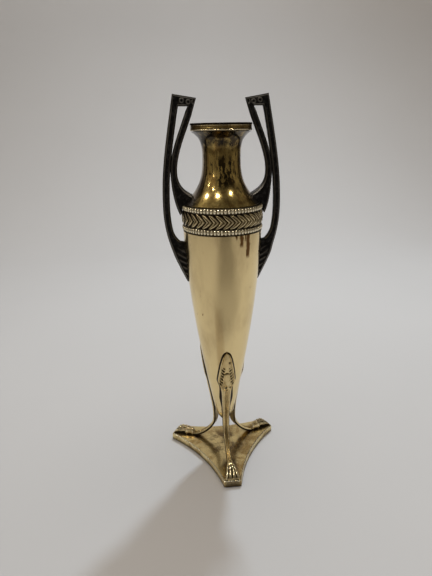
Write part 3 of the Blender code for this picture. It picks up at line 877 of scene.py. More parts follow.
SCREW_BRASS = MetalFinish(
    "screw_brass", "screw_brass", (0.42, 0.34, 0.20), (0.16, 0.11, 0.05), roughness=0.38,
)
BLACK_BRONZE = MetalFinish(
    "black_bronze", "black_bronze", (0.010, 0.009, 0.008), (0.055, 0.051, 0.047),
    grime_and_shade=(0.006, 0.005, 0.004), worn=(0.15, 0.135, 0.112), roughness=0.32, dull=0.12,
    patches=Cloud(480.0, low=0.48, high=0.66, rough=0.75), patch_amount=0.85,
    polish=Cloud(700.0, low=0.3, high=0.7), polish_spread=0.1, polish_height=0.05 * MM,
    metallic=0.8,
)


# Vessel


@dataclass
class Vessel:
    """Spun body, spun neck and the ring round the mouth."""

    clearance: float = 0.3 * MM
    body_radius: float = 23.15 * MM
    body_top: float = 155.3 * MM
    wall: float = 1.2 * MM
    inside_skip: int = 2
    upper_pull: float = 39.8 * MM
    upper_lean: float = 0.03
    lower_pull: float = 39.8 * MM
    lower_lean: float = 0.21
    side_steps: int = 56
    point_radius: float = 6.0 * MM
    point_start: float = 32.0 * MM
    point_height: float = 23.7 * MM
    point_pull: float = 0.4
    point_flat: float = 0.37
    point_wall: float = 2.6 * MM
    point_steps: int = 16
    # painted shade on the body's point, low between the legs
    point_shade: float = 0.8
    point_shade_fade: Fade = (37.0 * MM, 26.0 * MM)
    ledge_rings: tuple[float, ...] = (0.2 * MM, 0.5 * MM)
    band_seat: float = 0.85 * MM
    bead_height: float = 3.0 * MM
    bead_proud: float = 0.6 * MM
    leaf_height: float = 8.0 * MM
    leaf_proud: float = 0.8 * MM
    leaf_relief: float = 0.45 * MM
    leaf_crown: float = 0.6 * MM
    leaf_steps: int = 8
    shoulder_radius: float = 21.8 * MM
    shoulder_edge: float = 0.4 * MM
    shoulder_lean: float = 0.72
    shoulder_pull: float = 13.2 * MM
    shoulder_dip: float = 0.42 * MM
    shoulder_deepest: float = 5.5 * MM
    shoulder_level: float = 2.3
    shoulder_steps: int = 72
    shoulder_grime: float = 0.5
    shoulder_grime_height: float = 0.3 * MM
    seat_gap: float = 0.02 * MM
    skirt_length: float = 9.0 * MM
    neck_radius: float = 10.9 * MM
    neck_rise: float = 25.9 * MM
    neck_lower_pull: float = 14.0 * MM
    neck_upper_pull: float = 8.9 * MM
    flare_rise: float = 13.3 * MM
    flare_pull: float = 5.0 * MM
    flare_slope: float = 0.60
    flare_steps: int = 24
    flare_grime: float = 0.7
    flare_grime_height: float = 0.2 * MM
    rim_radius: float = 17.4 * MM
    rim_height: float = 4.0 * MM
    rim_width: float = 1.3 * MM
    rim_fillet: float = 0.45 * MM
    rim_fillet_steps: int = 8
    rim_groove: float = 0.4 * MM
    rim_groove_edge: float = 0.55
    rim_groove_steps: int = 12
    # painted shade on the upper fillet, and wear with a painted highlight on the lower fillet
    rim_top_shade: Fade = (1.15 * MM, 0.9 * MM)
    rim_low_wear_and_highlight: Fade = (3.1 * MM, 3.4 * MM)
    rim_wear: float = 0.6
    # a worn line with a painted highlight, grime in the hollow, and a painted shadow line at its lower
    # edge
    rim_lines: tuple[Hill, ...] = (
        Hill(1.3 * MM, 0.22 * MM, -0.8), Hill(2.2 * MM, 0.8 * MM, 0.25), Hill(2.95 * MM, 0.3 * MM, 0.9),
    )
    steps: int = 144

    def __post_init__(self) -> None:
        """Stacks the heights from the body's ledge upwards."""
        gap = self.clearance
        self.ring_inner = self.body_radius - self.band_seat + gap
        self.lower_beads = self.body_top + gap
        self.leaf_bottom = self.lower_beads + self.bead_height + gap
        self.upper_beads = self.leaf_bottom + self.leaf_height + gap
        self.mouth = self.upper_beads + self.bead_height
        self.shoulder = self.mouth + gap + self.shoulder_edge
        self.neck_waist = self.shoulder + self.neck_rise
        self.rim_seat = self.neck_waist + self.flare_rise
        self.rim_bottom = self.rim_seat + gap
        self.rim_top = self.rim_bottom + self.rim_height
        self.collar = self.rim_radius - self.rim_width - gap
        self.body_side = self._body_side()
        self.neck_side = self._neck_side()

    def _body_side(self) -> Line:
        """Outside of the body, from the ledge down to the point."""
        turn = (self.point_radius, self.point_start)
        side = bezier(
            (self.body_radius, self.body_top), leaning(-self.upper_pull, self.upper_lean),
            leaning(self.lower_pull, self.lower_lean), turn, self.side_steps,
        )
        pull = (self.point_start - self.point_height) * self.point_pull
        point = bezier(
            turn, leaning(-pull, self.lower_lean), (self.point_radius * self.point_flat, 0.0),
            (0.0, self.point_height), self.point_steps,
        )
        return side + point[1:]

    def _neck_side(self) -> Line:
        """Outside of the neck, from the mouth ring's seat down to the shoulder edge."""
        seat = (self.rim_radius - self.clearance, self.rim_seat)
        waist = (self.neck_radius, self.neck_waist)
        edge = (self.shoulder_radius, self.shoulder)
        flare = bezier(
            seat, leaning(-self.flare_pull, math.pi / 2 - self.flare_slope),
            (0.0, self.neck_upper_pull), waist, self.flare_steps,
        )
        shoulder = bezier(
            waist, (0.0, -self.neck_lower_pull), leaning(self.shoulder_pull, -self.shoulder_lean), edge,
            self.shoulder_steps,
        )
        hollowed = []
        for point, normal in zip(shoulder, line_normals(shoulder)):
            rise = (point[1] - self.shoulder) / self.shoulder_deepest
            share = math.sin(math.pi / 2 * rise) if rise < 1 else ease(self.shoulder_level, 1.0, rise)
            depth = self.shoulder_dip * share
            hollowed.append((point[0] - normal.x * depth, point[1] - normal.y * depth))
        return flare + hollowed[1:]

    def leaf_face(self, height: float) -> float:
        """Radius of the leaf band's ground at a height."""
        across = 2 * (height - self.leaf_bottom) / self.leaf_height - 1
        return self.body_radius + self.leaf_proud - self.leaf_relief - self.leaf_crown * across**2

    def leaf_line(self, lift: float, steps: int) -> Line:
        """Outline of the leaf band from its top down, lifted off its ground."""
        heights = [self.leaf_bottom + self.leaf_height * (1 - share) for share in shares(steps)]
        return [(self.leaf_face(height) + lift, height) for height in heights]

    def seat_line(self) -> Line:
        """Everything that a handle stands on or passes, as one outline with clearance."""
        beads = self.body_radius + self.bead_proud
        line = (
            [(0.0, self.rim_top), (self.rim_radius, self.rim_top)]
            + [(self.rim_radius, self.rim_bottom)]
            + self.neck_side
            + [(beads, self.mouth), (beads, self.upper_beads)]
            + self.leaf_line(self.leaf_relief, self.leaf_steps)
            + [(beads, self.lower_beads + self.bead_height), (beads, self.lower_beads)]
            + self.body_side
        )
        out = offset_line(line, self.seat_gap)
        return [(0.0, out[0][1])] + out[1:-1] + [(0.0, out[-1][1])]

    def body_mesh(self) -> Mesh:
        """Body wall, with its open mouth and the seat of the band."""
        seat = self.body_radius - self.band_seat
        low = self.point_height + self.point_wall
        inside = [
            p for p in offset_line(self.body_side, -self.wall)[::self.inside_skip]
            if low < p[1] < self.body_top - self.band_seat
        ]
        ledge = [self.body_top - drop for drop in self.ledge_rings]
        line = (
            [(0.0, low)] + inside[::-1]
            + [(seat - self.wall, self.body_top), (seat - self.wall, self.mouth)]
            + [(seat, self.mouth), (seat, self.body_top), self.body_side[0]]
            + [(radius_at(self.body_side, height), height) for height in ledge]
            + self.body_side[1:]
        )

        def deep(height: float) -> float:
            """Grime under the lower row of beads, and painted shade round the point."""
            under = ease(ledge[-1], self.body_top, height)
            return max(under, self.point_shade * ease(*self.point_shade_fade, height))

        return turned("body_brass", line, self.steps, depth=deep)

    def neck_mesh(self) -> Mesh:
        """Neck wall with its skirt, its shoulder and the collar inside the mouth ring."""
        skirt = self.body_radius - self.band_seat - self.wall - self.clearance
        skirt_end = self.mouth - self.skirt_length
        bore = self.collar - self.wall
        inside = [
            p for p in offset_line(self.neck_side, -self.wall)[::self.inside_skip]
            if p[0] < (bore if p[1] > self.neck_waist else skirt - self.wall)
        ]
        top = self.rim_top - self.clearance
        edge = self.shoulder - self.shoulder_edge
        line = (
            [(self.collar, top), (self.collar, self.rim_seat)]
            + self.neck_side
            + [(self.shoulder_radius, edge), (skirt, edge)]
            + [(skirt, skirt_end), (skirt - self.wall, skirt_end)]
            + inside[::-1]
            + [(bore, top)]
        )

        def deep(height: float) -> float:
            """Grime where the shoulder meets the beads and the flare meets the ring."""
            low = ease(self.shoulder + self.shoulder_grime_height, self.shoulder, height)
            rise = self.flare_grime_height
            high = ease(self.rim_seat - rise, self.rim_seat + rise, height)
            return max(self.shoulder_grime * low, self.flare_grime * high)

        return turned("neck_brass", line, self.steps, depth=deep)

    def rim_mesh(self) -> Mesh:
        """Mouth ring: an upper fillet with painted shade, a hollow and a lower fillet with wear and a
        painted highlight.
        """
        inner = self.rim_radius - self.rim_width
        fillet = self.rim_fillet
        fillets = []
        for middle in (self.rim_top - fillet, self.rim_bottom + fillet):
            fillets.append([])
            for share in shares(self.rim_fillet_steps):
                angle = math.pi * (0.5 - share)
                out = self.rim_radius - fillet + fillet * math.cos(angle)
                fillets[-1].append((out, middle + fillet * math.sin(angle)))
        hollow = []
        low, high = self.rim_bottom + 2 * fillet, self.rim_top - 2 * fillet
        for share in shares(self.rim_groove_steps)[1:-1]:
            depth = self.rim_groove * blend(self.rim_groove_edge, 1.0, math.sin(math.pi * share))
            hollow.append((self.rim_radius - depth, blend(high, low, share)))
        line = fillets[0] + hollow + fillets[1] + [(inner, self.rim_bottom), (inner, self.rim_top)]

        def deep(height: float) -> float:
            """Painted shade on the upper fillet, a worn line with a painted highlight under it, grime in
            the hollow, a painted shadow line at its lower edge, and wear with a painted highlight on the
            lower fillet.
            """
            down = self.rim_top - height
            lines = sum(mark.at(down) for mark in self.rim_lines)
            return ease(*self.rim_top_shade, down) + lines - self.rim_wear * ease(*self.rim_low_wear_and_highlight, down)

        return turned("rim_brass", line, self.steps, RING_CREASE, deep)

    def build(self, effects: SharedEffects) -> None:
        """Makes and dresses the three turned pieces."""
        for name, mesh, finish, node in (
            ("body", self.body_mesh(), BODY_BRASS, "body_shell"),
            ("neck", self.neck_mesh(), NECK_BRASS, "neck_shell"),
            ("mouth_rim", self.rim_mesh(), RIM_BRASS, "mouth_ring"),
        ):
            dress(placed(name, mesh), finish.material(effects), finish.slot, node)


# Ornamental band


@dataclass
class OrnamentBand:
    """Laurel leaves between two rows of beads, each repeated round the axis by nodes."""

    vessel: Vessel
    bead_count: int = 74
    bead_width: float = 2.0 * MM
    bead_lift: float = 1.0 * MM
    bead_half: float = 0.49
    bead_facets: tuple[int, int] = (10, 7)
    bead_crown: Fade = (0.2, 0.8)
    bead_grime_and_shade: float = 0.9
    bead_wear: float = -1.0
    ring_proud: float = 0.05 * MM
    ring_edge: float = 0.25 * MM
    ring_grime_and_shade: float = 0.65
    leaf_count: int = 36
    leaf_steps: tuple[int, int] = (12, 8)
    leaf_width: float = 1.45 * MM
    leaf_taper: float = 2.6
    leaf_blunt: float = 0.8
    leaf_point: float = 0.03
    leaf_back: float = 2.4 * MM
    leaf_front: float = 3.0 * MM
    leaf_overlap: float = 0.9 * MM
    leaf_margin: float = 0.2 * MM
    leaf_bow: float = 0.3 * MM
    leaf_lift: float = 0.62 * MM
    leaf_low: float = 0.55
    leaf_swell: float = 0.15
    leaf_round: float = 0.55
    leaf_tilt: float = 0.30
    leaf_sink: float = 0.2 * MM
    leaf_split: float = 0.03 * MM
    vein: Hill = Hill(0.0, 0.3)
    vein_depth: float = 0.40
    # the ridge line gets wear with a painted highlight
    ridge: Hill = Hill(0.5, 0.3)
    edge_grime_and_shade: Fade = (0.7, 1.0)
    carving: float = 0.95
    ground_sink: float = 0.3 * MM
    ground_steps: int = 12
    ground_grime_and_shade: float = 1.0
    ring_tree: Tree = field(init=False)

    def __post_init__(self) -> None:
        """Builds the tree that repeats a shape round the axis."""
        sheet, given, result = new_tree(
            "repeat_round_axis",
            "GeometryNodeTree",
            [("Geometry", GEOMETRY), ("Count", "NodeSocketInt"), ("Material", "NodeSocketMaterial")],
            [("Geometry", GEOMETRY)],
        )
        points = sheet.add("GeometryNodePoints", {"Count": given.outputs["Count"]})
        index = sheet.add("GeometryNodeInputIndex").outputs[0]
        share = sheet.math("DIVIDE", index, given.outputs["Count"])
        angle = sheet.math("MULTIPLY", share, 2 * math.pi)
        turn = sheet.add("ShaderNodeCombineXYZ", {"Z": angle}).outputs[0]
        rotation = sheet.add("FunctionNodeEulerToRotation", {0: turn}).outputs[0]
        copies = sheet.add(
            "GeometryNodeInstanceOnPoints",
            {"Points": points.outputs[0], "Instance": given.outputs["Geometry"],
             "Rotation": rotation},
        )
        real = sheet.add("GeometryNodeRealizeInstances", {0: copies.outputs[0]})
        coated = sheet.add(
            "GeometryNodeSetMaterial",
            {"Geometry": real.outputs[0], "Material": given.outputs["Material"]},
        )
        sheet.feed(result.inputs[0], coated.outputs[0])
        self.ring_tree = sheet.tree

    def repeated(self, name: str, mesh: Mesh, count: int, material: Material) -> Mesh:
        """Repeats one shape evenly round the axis.

        Args:
            name: name of the result.
            mesh: the shape at its first place.
            count: number of copies.
            material: material of the copies.

        Returns:
            A plain mesh of all the copies.
        """
        seed = placed(name, mesh)
        step = seed.modifiers.new("ring", "NODES")
        step.node_group = self.ring_tree
        values = {"Count": count, "Material": material}
        for item in self.ring_tree.interface.items_tree:
            if item.in_out == "INPUT" and item.name in values:
                step[item.identifier] = values[item.name]
        return baked(name, seed)

    def bead_mesh(self, bottom: float) -> Mesh:
        """One upright oval bead, half sunk in its ring."""
        vessel = self.vessel
        centre = round_point(
            vessel.body_radius + vessel.bead_proud - self.bead_lift, 0.0, bottom + vessel.bead_height / 2
        )
        size = Vector((self.bead_lift, self.bead_width / 2, vessel.bead_height * self.bead_half))
        round_facets, high_facets = self.bead_facets
        solid = bmesh.new()
        bmesh.ops.create_uvsphere(solid, u_segments=round_facets, v_segments=high_facets, radius=1.0)
        recess = []
        for vertex in solid.verts:
            # wear with a painted highlight on the outward crown, grime with painted shade on the sides
            outward = ease(*self.bead_crown, vertex.co.x)
            recess.append(blend(self.bead_grime_and_shade, self.bead_wear, outward))
            vertex.co = centre + vertex.co * size
        return finish_mesh("bead", solid, recess, NO_CREASE)

    def bead_ring(self, bottom: float, material: Material) -> Mesh:
        """Beads on the ring that carries them.

        Args:
            bottom: height of the ring's underside.
            material: material of the beads.

        Returns:
            The ring and its beads as one mesh.
        """
        inner = self.vessel.ring_inner
        top = bottom + self.vessel.bead_height
        face = self.vessel.body_radius + self.ring_proud
        edge = self.ring_edge
        line = [
            (face - edge, top), (face, top - edge), (face, bottom + edge), (face - edge, bottom),
            (inner, bottom), (inner, top),
        ]
        steps = self.vessel.steps
        # the ground between the beads carries grime with painted shade
        ground = turned("bead_ground", line, steps, RING_CREASE, lambda height: self.ring_grime_and_shade)
        beads = self.repeated("beads", self.bead_mesh(bottom), self.bead_count, material)
        return joined("bead_ring", (ground, beads))

    def leaf_relief(self, share: float, across: float) -> Pair:
        """Carving of a leaf.

        Args:
            share: place along the leaf, from 0 at its root to 1 at its tip.
            across: place across it, from -1 to 1.

        Returns:
            Height above the leaf's underside, and the recess value.
        """
        vein = self.vein.at(across)
        swell = math.sin(math.pi * min(1.0, share + self.leaf_swell))
        lift = 1 - self.leaf_round * across**2 + self.leaf_tilt * across - self.vein_depth * vein
        lift *= self.leaf_lift * blend(self.leaf_low, 1.0, swell)
        # grime in the vein, grime with painted shade at the edges, and wear with a painted highlight
        # along each ridge
        dark = max(self.carving * vein, ease(*self.edge_grime_and_shade, abs(across)))
        return lift, dark - self.carving * self.ridge.at(abs(across))

    def leaf_mesh(self, row: Row) -> Mesh:
        """One leaf that grows from the band's middle back towards its edge.

        Args:
            row: the row that the leaf belongs to.

        Returns:
            The leaf, wrapped on the band.
        """
        long_steps, wide_steps = self.leaf_steps
        middle = self.vessel.leaf_bottom + self.vessel.leaf_height / 2
        rise = self.vessel.leaf_height / 2 - self.leaf_margin
        root = Vector((self.leaf_front, -self.leaf_overlap))
        along = Vector((-self.leaf_back, rise)) - root
        aside = Vector((along.y, -along.x)).normalized()
        solid = bmesh.new()
        layer = solid.verts.layers.float.new(RECESS)
        rows = []
        for share in shares(long_steps):
            half = self.leaf_width * max(self.leaf_point, 1 - share**self.leaf_taper) ** self.leaf_blunt
            bow = self.leaf_bow * math.sin(math.pi * share)
            rows.append([])
            for across in (2 * way - 1 for way in shares(wide_steps)):
                flat = root + along * share + aside * (half * across + bow)
                lift, recess = self.leaf_relief(share, across)
                vertex = solid.verts.new((flat.x, min(flat.y, rise), lift))
                vertex[layer] = recess
                rows[-1].append(vertex)
        skin(solid, rows, closed=False)
        everything = solid.verts[:] + solid.edges[:] + solid.faces[:]
        bmesh.ops.bisect_plane(
            solid, geom=everything, plane_co=(0.0, self.leaf_split, 0.0), plane_no=(0.0, 1.0, 0.0),
            clear_inner=True,
        )
        for vertex in solid.verts:
            x, y, lift = vertex.co
            height = middle + row.value * y
            radius = self.vessel.leaf_face(height) - self.leaf_sink + lift
            vertex.co = round_point(radius, x / radius, height)
        for face in solid.faces:
            face.normal_update()
            if face.normal.x < 0:
                face.normal_flip()
        return finish_mesh("leaf", solid, [], NO_CREASE)

    def leaf_ring(self, material: Material) -> Mesh:
        """Both rows of leaves on the band's ground, darkened with grime and painted shade."""
        vessel = self.vessel
        face = vessel.leaf_line(-self.ground_sink, self.ground_steps)
        line = face + [(vessel.ring_inner, height) for height in (face[-1][1], face[0][1])]
        # the ground between the leaves carries grime with painted shade
        ground = turned("leaf_ground", line, vessel.steps, RING_CREASE, lambda height: self.ground_grime_and_shade)
        rows = [self.repeated("leaves", self.leaf_mesh(row), self.leaf_count, material) for row in Row]
        return joined("leaf_ring", [ground] + rows)

    def build(self, effects: SharedEffects) -> None:
        """Makes and dresses the three rings."""
        vessel = self.vessel
        beads, leaves = BEAD_BRASS.material(effects), LEAF_BRASS.material(effects)
        for name, mesh, material, node in (
            ("beads_upper", self.bead_ring(vessel.upper_beads, beads), beads, "bead_ring_upper"),
            ("beads_lower", self.bead_ring(vessel.lower_beads, beads), beads, "bead_ring_lower"),
            ("laurel_band", self.leaf_ring(leaves), leaves, "leaf_band"),
        ):
            dress(placed(name, mesh), material, LEAF_BRASS.slot, node)


# Handles


@dataclass(frozen=True)
class Motif:
    """Place of a small raised ring on the crosspiece, and its share of a full turn."""

    radius: float
    drop: float
    sweep: float = 1.0


@dataclass
class Handles:
    """Two equal castings: two bars joined by a crosspiece, on a ribbed foot and a plain one."""

    vessel: Vessel
    reach: float = 34.4 * MM
    bar: float = 4.1 * MM
    inner_bar: float = 3.8 * MM
    slit: float = 1.1 * MM
    depth: float = 3.4 * MM
    chamfer: float = 1.1 * MM
    chamfer_limit: float = 0.6
    head_rise: float = 15.2 * MM
    head_drop: float = 2.2 * MM
    head_outer: float = 26.5 * MM
    head_inner: float = 13.5 * MM
    head_height: float = 6.4 * MM
    head_lean: float = 0.16
    head_steps: int = 8
    inner_bend_rise: float = 17.6 * MM
    outer_bend_rise: float = -2.4 * MM
    lower_foot_drop: float = 31.8 * MM
    lower_foot_length: float = 23.5 * MM
    lower_foot_depth: float = 7.4 * MM
    lower_foot_slope: float = 0.1
    lower_tip_depth: float = 0.3
    lower_tip_share: float = 0.7
    lower_foot_end: Fade = (0.62, 1.0)
    upper_foot_depth: float = 7.6 * MM
    upper_foot_rise: float = 4.4 * MM
    upper_foot_lap: float = 2.9 * MM
    upper_foot_swell: Fade = (0.2, 0.9)
    foot_throat: float = 2.2 * MM
    foot_throat_rise: float = 8.2 * MM
    foot_tip: float = 0.5 * MM
    foot_sink: float = 2.0 * MM
    lower_pulls: Pulls = (0.18, 0.385, 0.36)
    upper_pulls: Pulls = (0.32, 0.092, 0.49)
    inner_pulls: Pulls = (0.09, 0.35, 0.31)
    throat_pulls: Pulls = (0.62, 0.3, 0.16)
    heel_pulls: Pulls = (0.42, 0.11, 0.22)
    lower_steps: int = 120
    upper_steps: int = 40
    upper_mitre: int = 4
    inner_steps: int = 45
    inner_mitre: int = 9
    foot_steps: int = 36
    face_steps: int = 12
    rib_height: float = 0.45 * MM
    rib_pitch: float = 3.3 * MM
    rib_slope: float = 0.6
    rib_sharp: float = 0.8
    rib_end: float = 4.5 * MM
    rib_start: Fade = (0.08, 0.22)
    rib_grime: float = 0.75
    # wear with painted highlights on the rib crests, the chamfer edges and the sides
    rib_wear: float = -0.65
    edge_wear: float = -0.75
    side_wear: float = -0.25
    crease: float = 25.0
    motifs: tuple[Motif, ...] = (
        Motif(21.5 * MM, 3.5 * MM), Motif(17.9 * MM, 4.2 * MM), Motif(14.9 * MM, 4.3 * MM, 0.42),
    )
    motif_radius: float = 1.05 * MM
    motif_wire: float = 0.36 * MM
    motif_flat: float = 0.8
    motif_lift: float = 0.05 * MM
    motif_wear: float = -0.7
    motif_steps: tuple[int, int] = (28, 10)

    def __post_init__(self) -> None:
        """Works out the heights of the head and of the lower foot."""
        self.top = self.vessel.rim_top + self.head_rise
        self.tip_height = self.vessel.body_top - self.lower_foot_drop
        self.foot_top = self.tip_height + self.lower_foot_length

    def bar_edges(self, bar: Line, widths: Sequence[float]) -> list[tuple]:
        """(outside, inside, half depth) along a bar with a width for each point."""
        edges = []
        for outside, normal, width in zip(bar, line_normals(bar), widths):
            inside = (outside[0] + normal.x * width, outside[1] + normal.y * width)
            edges.append((outside, inside, self.depth / 2))
        return edges

    def outer_edges(self) -> list[tuple]:
        """(outside, inside, half depth) from the lower foot's tip up to the head."""
        vessel = self.vessel
        tip = radius_at(vessel.body_side, self.tip_height) + vessel.clearance + self.foot_tip
        bend = vessel.shoulder + self.outer_bend_rise
        low, high = bend - self.tip_height, self.top - bend
        out, up, down = self.lower_pulls
        lower = bezier(
            (tip, self.tip_height), (low * out, low * up), (0.0, -low * down), (self.reach, bend),
            self.lower_steps,
        )
        up, out, down = self.upper_pulls
        upper = bezier(
            (self.reach, bend), (0.0, high * up), (high * out, -high * down), (self.head_outer, self.top),
            self.upper_steps,
        )
        foot = [p for p in lower if p[1] < self.foot_top]
        bar = [p for p in lower if p[1] >= self.foot_top] + upper[1:-self.upper_mitre]
        edges = []
        for i, outside in enumerate(foot):
            wall = radius_at(vessel.body_side, outside[1]) - self.foot_sink
            inside = (wall, outside[1] + self.lower_foot_slope * (outside[0] - wall))
            share = i / len(foot)
            depth = blend(self.lower_tip_depth, 1.0, share / self.lower_tip_share) * self.lower_foot_depth
            depth = blend(depth, self.depth, ease(*self.lower_foot_end, share))
            edges.append((outside, inside, depth / 2))
        widths = []
        for point in bar:
            near = max(0.0, 1 - (point[1] - self.foot_top) / self.foot_throat_rise)
            widths.append(self.bar + self.foot_throat * near**2)
        return edges + self.bar_edges(bar, widths)

    def head_edges(self) -> list[tuple]:
        """The crosspiece, between its two mitres."""
        under = self.top - self.head_height
        lean = self.head_height * self.head_lean
        outer = ((self.head_outer, self.top), (self.head_outer - self.bar + lean, under))
        inner = ((self.head_inner, self.top - self.head_drop),
                 (self.head_inner + self.inner_bar + lean, under))
        edges = []
        for share in shares(self.head_steps):
            ends = [tuple(blend(a, b, share) for a, b in zip(p, q)) for p, q in zip(outer, inner)]
            edges.append((*ends, self.depth / 2))
        return edges

    def inner_edges(self) -> list[tuple]:
        """(outside, inside, half depth) from the head down to the upper foot."""
        vessel = self.vessel
        start = (self.head_inner, self.top - self.head_drop)
        reach = self.reach - self.bar - self.slit - self.inner_bar
        bend = (reach, vessel.shoulder + self.inner_bend_rise)
        drop = start[1] - bend[1]
        out, down, up = self.inner_pulls
        bar = bezier(start, (drop * out, -drop * down), (0.0, drop * up), bend, self.inner_steps)
        bar = bar[self.inner_mitre:]
        edges = self.bar_edges(bar, [self.inner_bar] * len(bar))
        foot_height = vessel.shoulder + self.upper_foot_rise
        foot = (radius_at(vessel.neck_side, foot_height) - self.foot_sink / 2, foot_height)
        tip = (vessel.body_radius + vessel.leaf_proud + vessel.clearance + self.foot_tip,
               vessel.upper_beads - self.upper_foot_lap)
        curves = []
        for side, end, pulls in ((reach, foot, self.throat_pulls),
                                 (reach + self.inner_bar, tip, self.heel_pulls)):
            fall = bend[1] - end[1]
            down, out, up = pulls
            curves.append(
                bezier((side, bend[1]), (0.0, -fall * down), (fall * out, fall * up), end,
                       self.foot_steps)
            )
        for share, throat, heel in list(zip(shares(self.foot_steps), *curves))[1:]:
            depth = blend(self.depth, self.upper_foot_depth, ease(*self.upper_foot_swell, share))
            edges.append((throat, heel, depth / 2))
        return edges

    def rib(self, place: Vector) -> float:
        """Ridge value, from 0 to 1, of the ribs that fall towards the body."""
        phase = (place.z - self.rib_slope * place.x) / self.rib_pitch
        return (0.5 + 0.5 * math.cos(2 * math.pi * phase)) ** self.rib_sharp

    def casting(self) -> Mesh:
        """The right handle, cut to its seats."""
        edges = self.outer_edges() + self.head_edges() + self.inner_edges()
        flip = Vector((1.0, -1.0, 1.0))
        sides = [self.side_wear] * 2
        sections = []
        recess = []
        for outside, inside, half in edges:
            start = Vector((outside[0], 0.0, outside[1]))
            end = Vector((inside[0], 0.0, inside[1]))
            chamfer = min(self.chamfer, half * self.chamfer_limit)
            step = (end - start).normalized() * chamfer
            front, values = [], []
            for share in shares(self.face_steps):
                spot = (start + step).lerp(end - step, share)
                ridge = self.rib(spot)
                on_foot = ease(self.foot_top, self.foot_top - self.rib_end, spot.z)
                on_foot *= ease(*self.rib_start, share)
                drop = self.rib_height * (1 - ridge) * on_foot
                front.append(spot + Vector((0.0, half - drop, 0.0)))
                # wear with painted highlights on the chamfer edges and rib crests, grime in the rib
                # hollows
                rim = self.edge_wear if share in (0.0, 1.0) else 0.0
                values.append(blend(rim, blend(self.rib_grime, self.rib_wear, ridge), on_foot))
            shallow = Vector((0.0, half - chamfer, 0.0))
            section = [p * flip for p in front]
            section += [end - shallow, end + shallow]
            section += list(reversed(front))
            section += [start + shallow, start - shallow]
            sections.append(section)
            recess += values + sides + values[::-1] + sides
        mesh = lofted("handle", sections, recess, self.crease)
        seat = turned("seat", self.vessel.seat_line(), self.vessel.steps)
        return cut_from("handle", mesh, (seat,))

    def motif_mesh(self, motif: Motif, front: float) -> Mesh:
        """Small raised ring, or part of one, on a face of the crosspiece.

        Args:
            motif: its place and its share of a full turn.
            front: the face, -1 or 1.

        Returns:
            The ring.
        """
        whole = motif.sweep == 1.0
        turns, rolls = self.motif_steps
        middle = Vector((motif.radius, front * (self.depth / 2 + self.motif_lift), self.top - motif.drop))
        solid = bmesh.new()
        rows = []
        for share in shares(turns if whole else turns // 2)[:-1]:
            turn = 2 * math.pi * motif.sweep * (share - 0.5)
            out = Vector((math.cos(turn), 0.0, math.sin(turn)))
            rows.append([])
            for roll in (2 * math.pi * way for way in shares(rolls)[:-1]):
                spot = middle + out * (self.motif_radius + self.motif_wire * math.cos(roll))
                spot.y += front * self.motif_wire * math.sin(roll) * self.motif_flat
                rows[-1].append(solid.verts.new(spot))
        skin(solid, rows + rows[:1] if whole else rows)
        if not whole:
            solid.faces.new(rows[0])
            solid.faces.new(rows[-1])
        bmesh.ops.recalc_face_normals(solid, faces=solid.faces)
        return finish_mesh("motif", solid, [self.motif_wear] * len(solid.verts), RING_CREASE)

    def build(self, effects: SharedEffects) -> None:
        """Makes and dresses both handles."""
        material = BLACK_BRONZE.material(effects)
        meshes = [self.casting()]
        for motif in self.motifs:
            meshes += [self.motif_mesh(motif, front) for front in (-1.0, 1.0)]
        whole = joined("handle_casting", meshes)
        dress_copies("handle_casting", whole, Side, material, BLACK_BRONZE.slot, "handle")


# Legs


@dataclass(frozen=True)
class Station:
    """One place down a leg: its spot, bend across, width, thickness and what it belongs to."""

    spot: Pair
    bend: float
    width: float
    thickness: float
    leaf: float = 0.0
    paw: float = 0.0
    skirt: float = 0.02 * MM


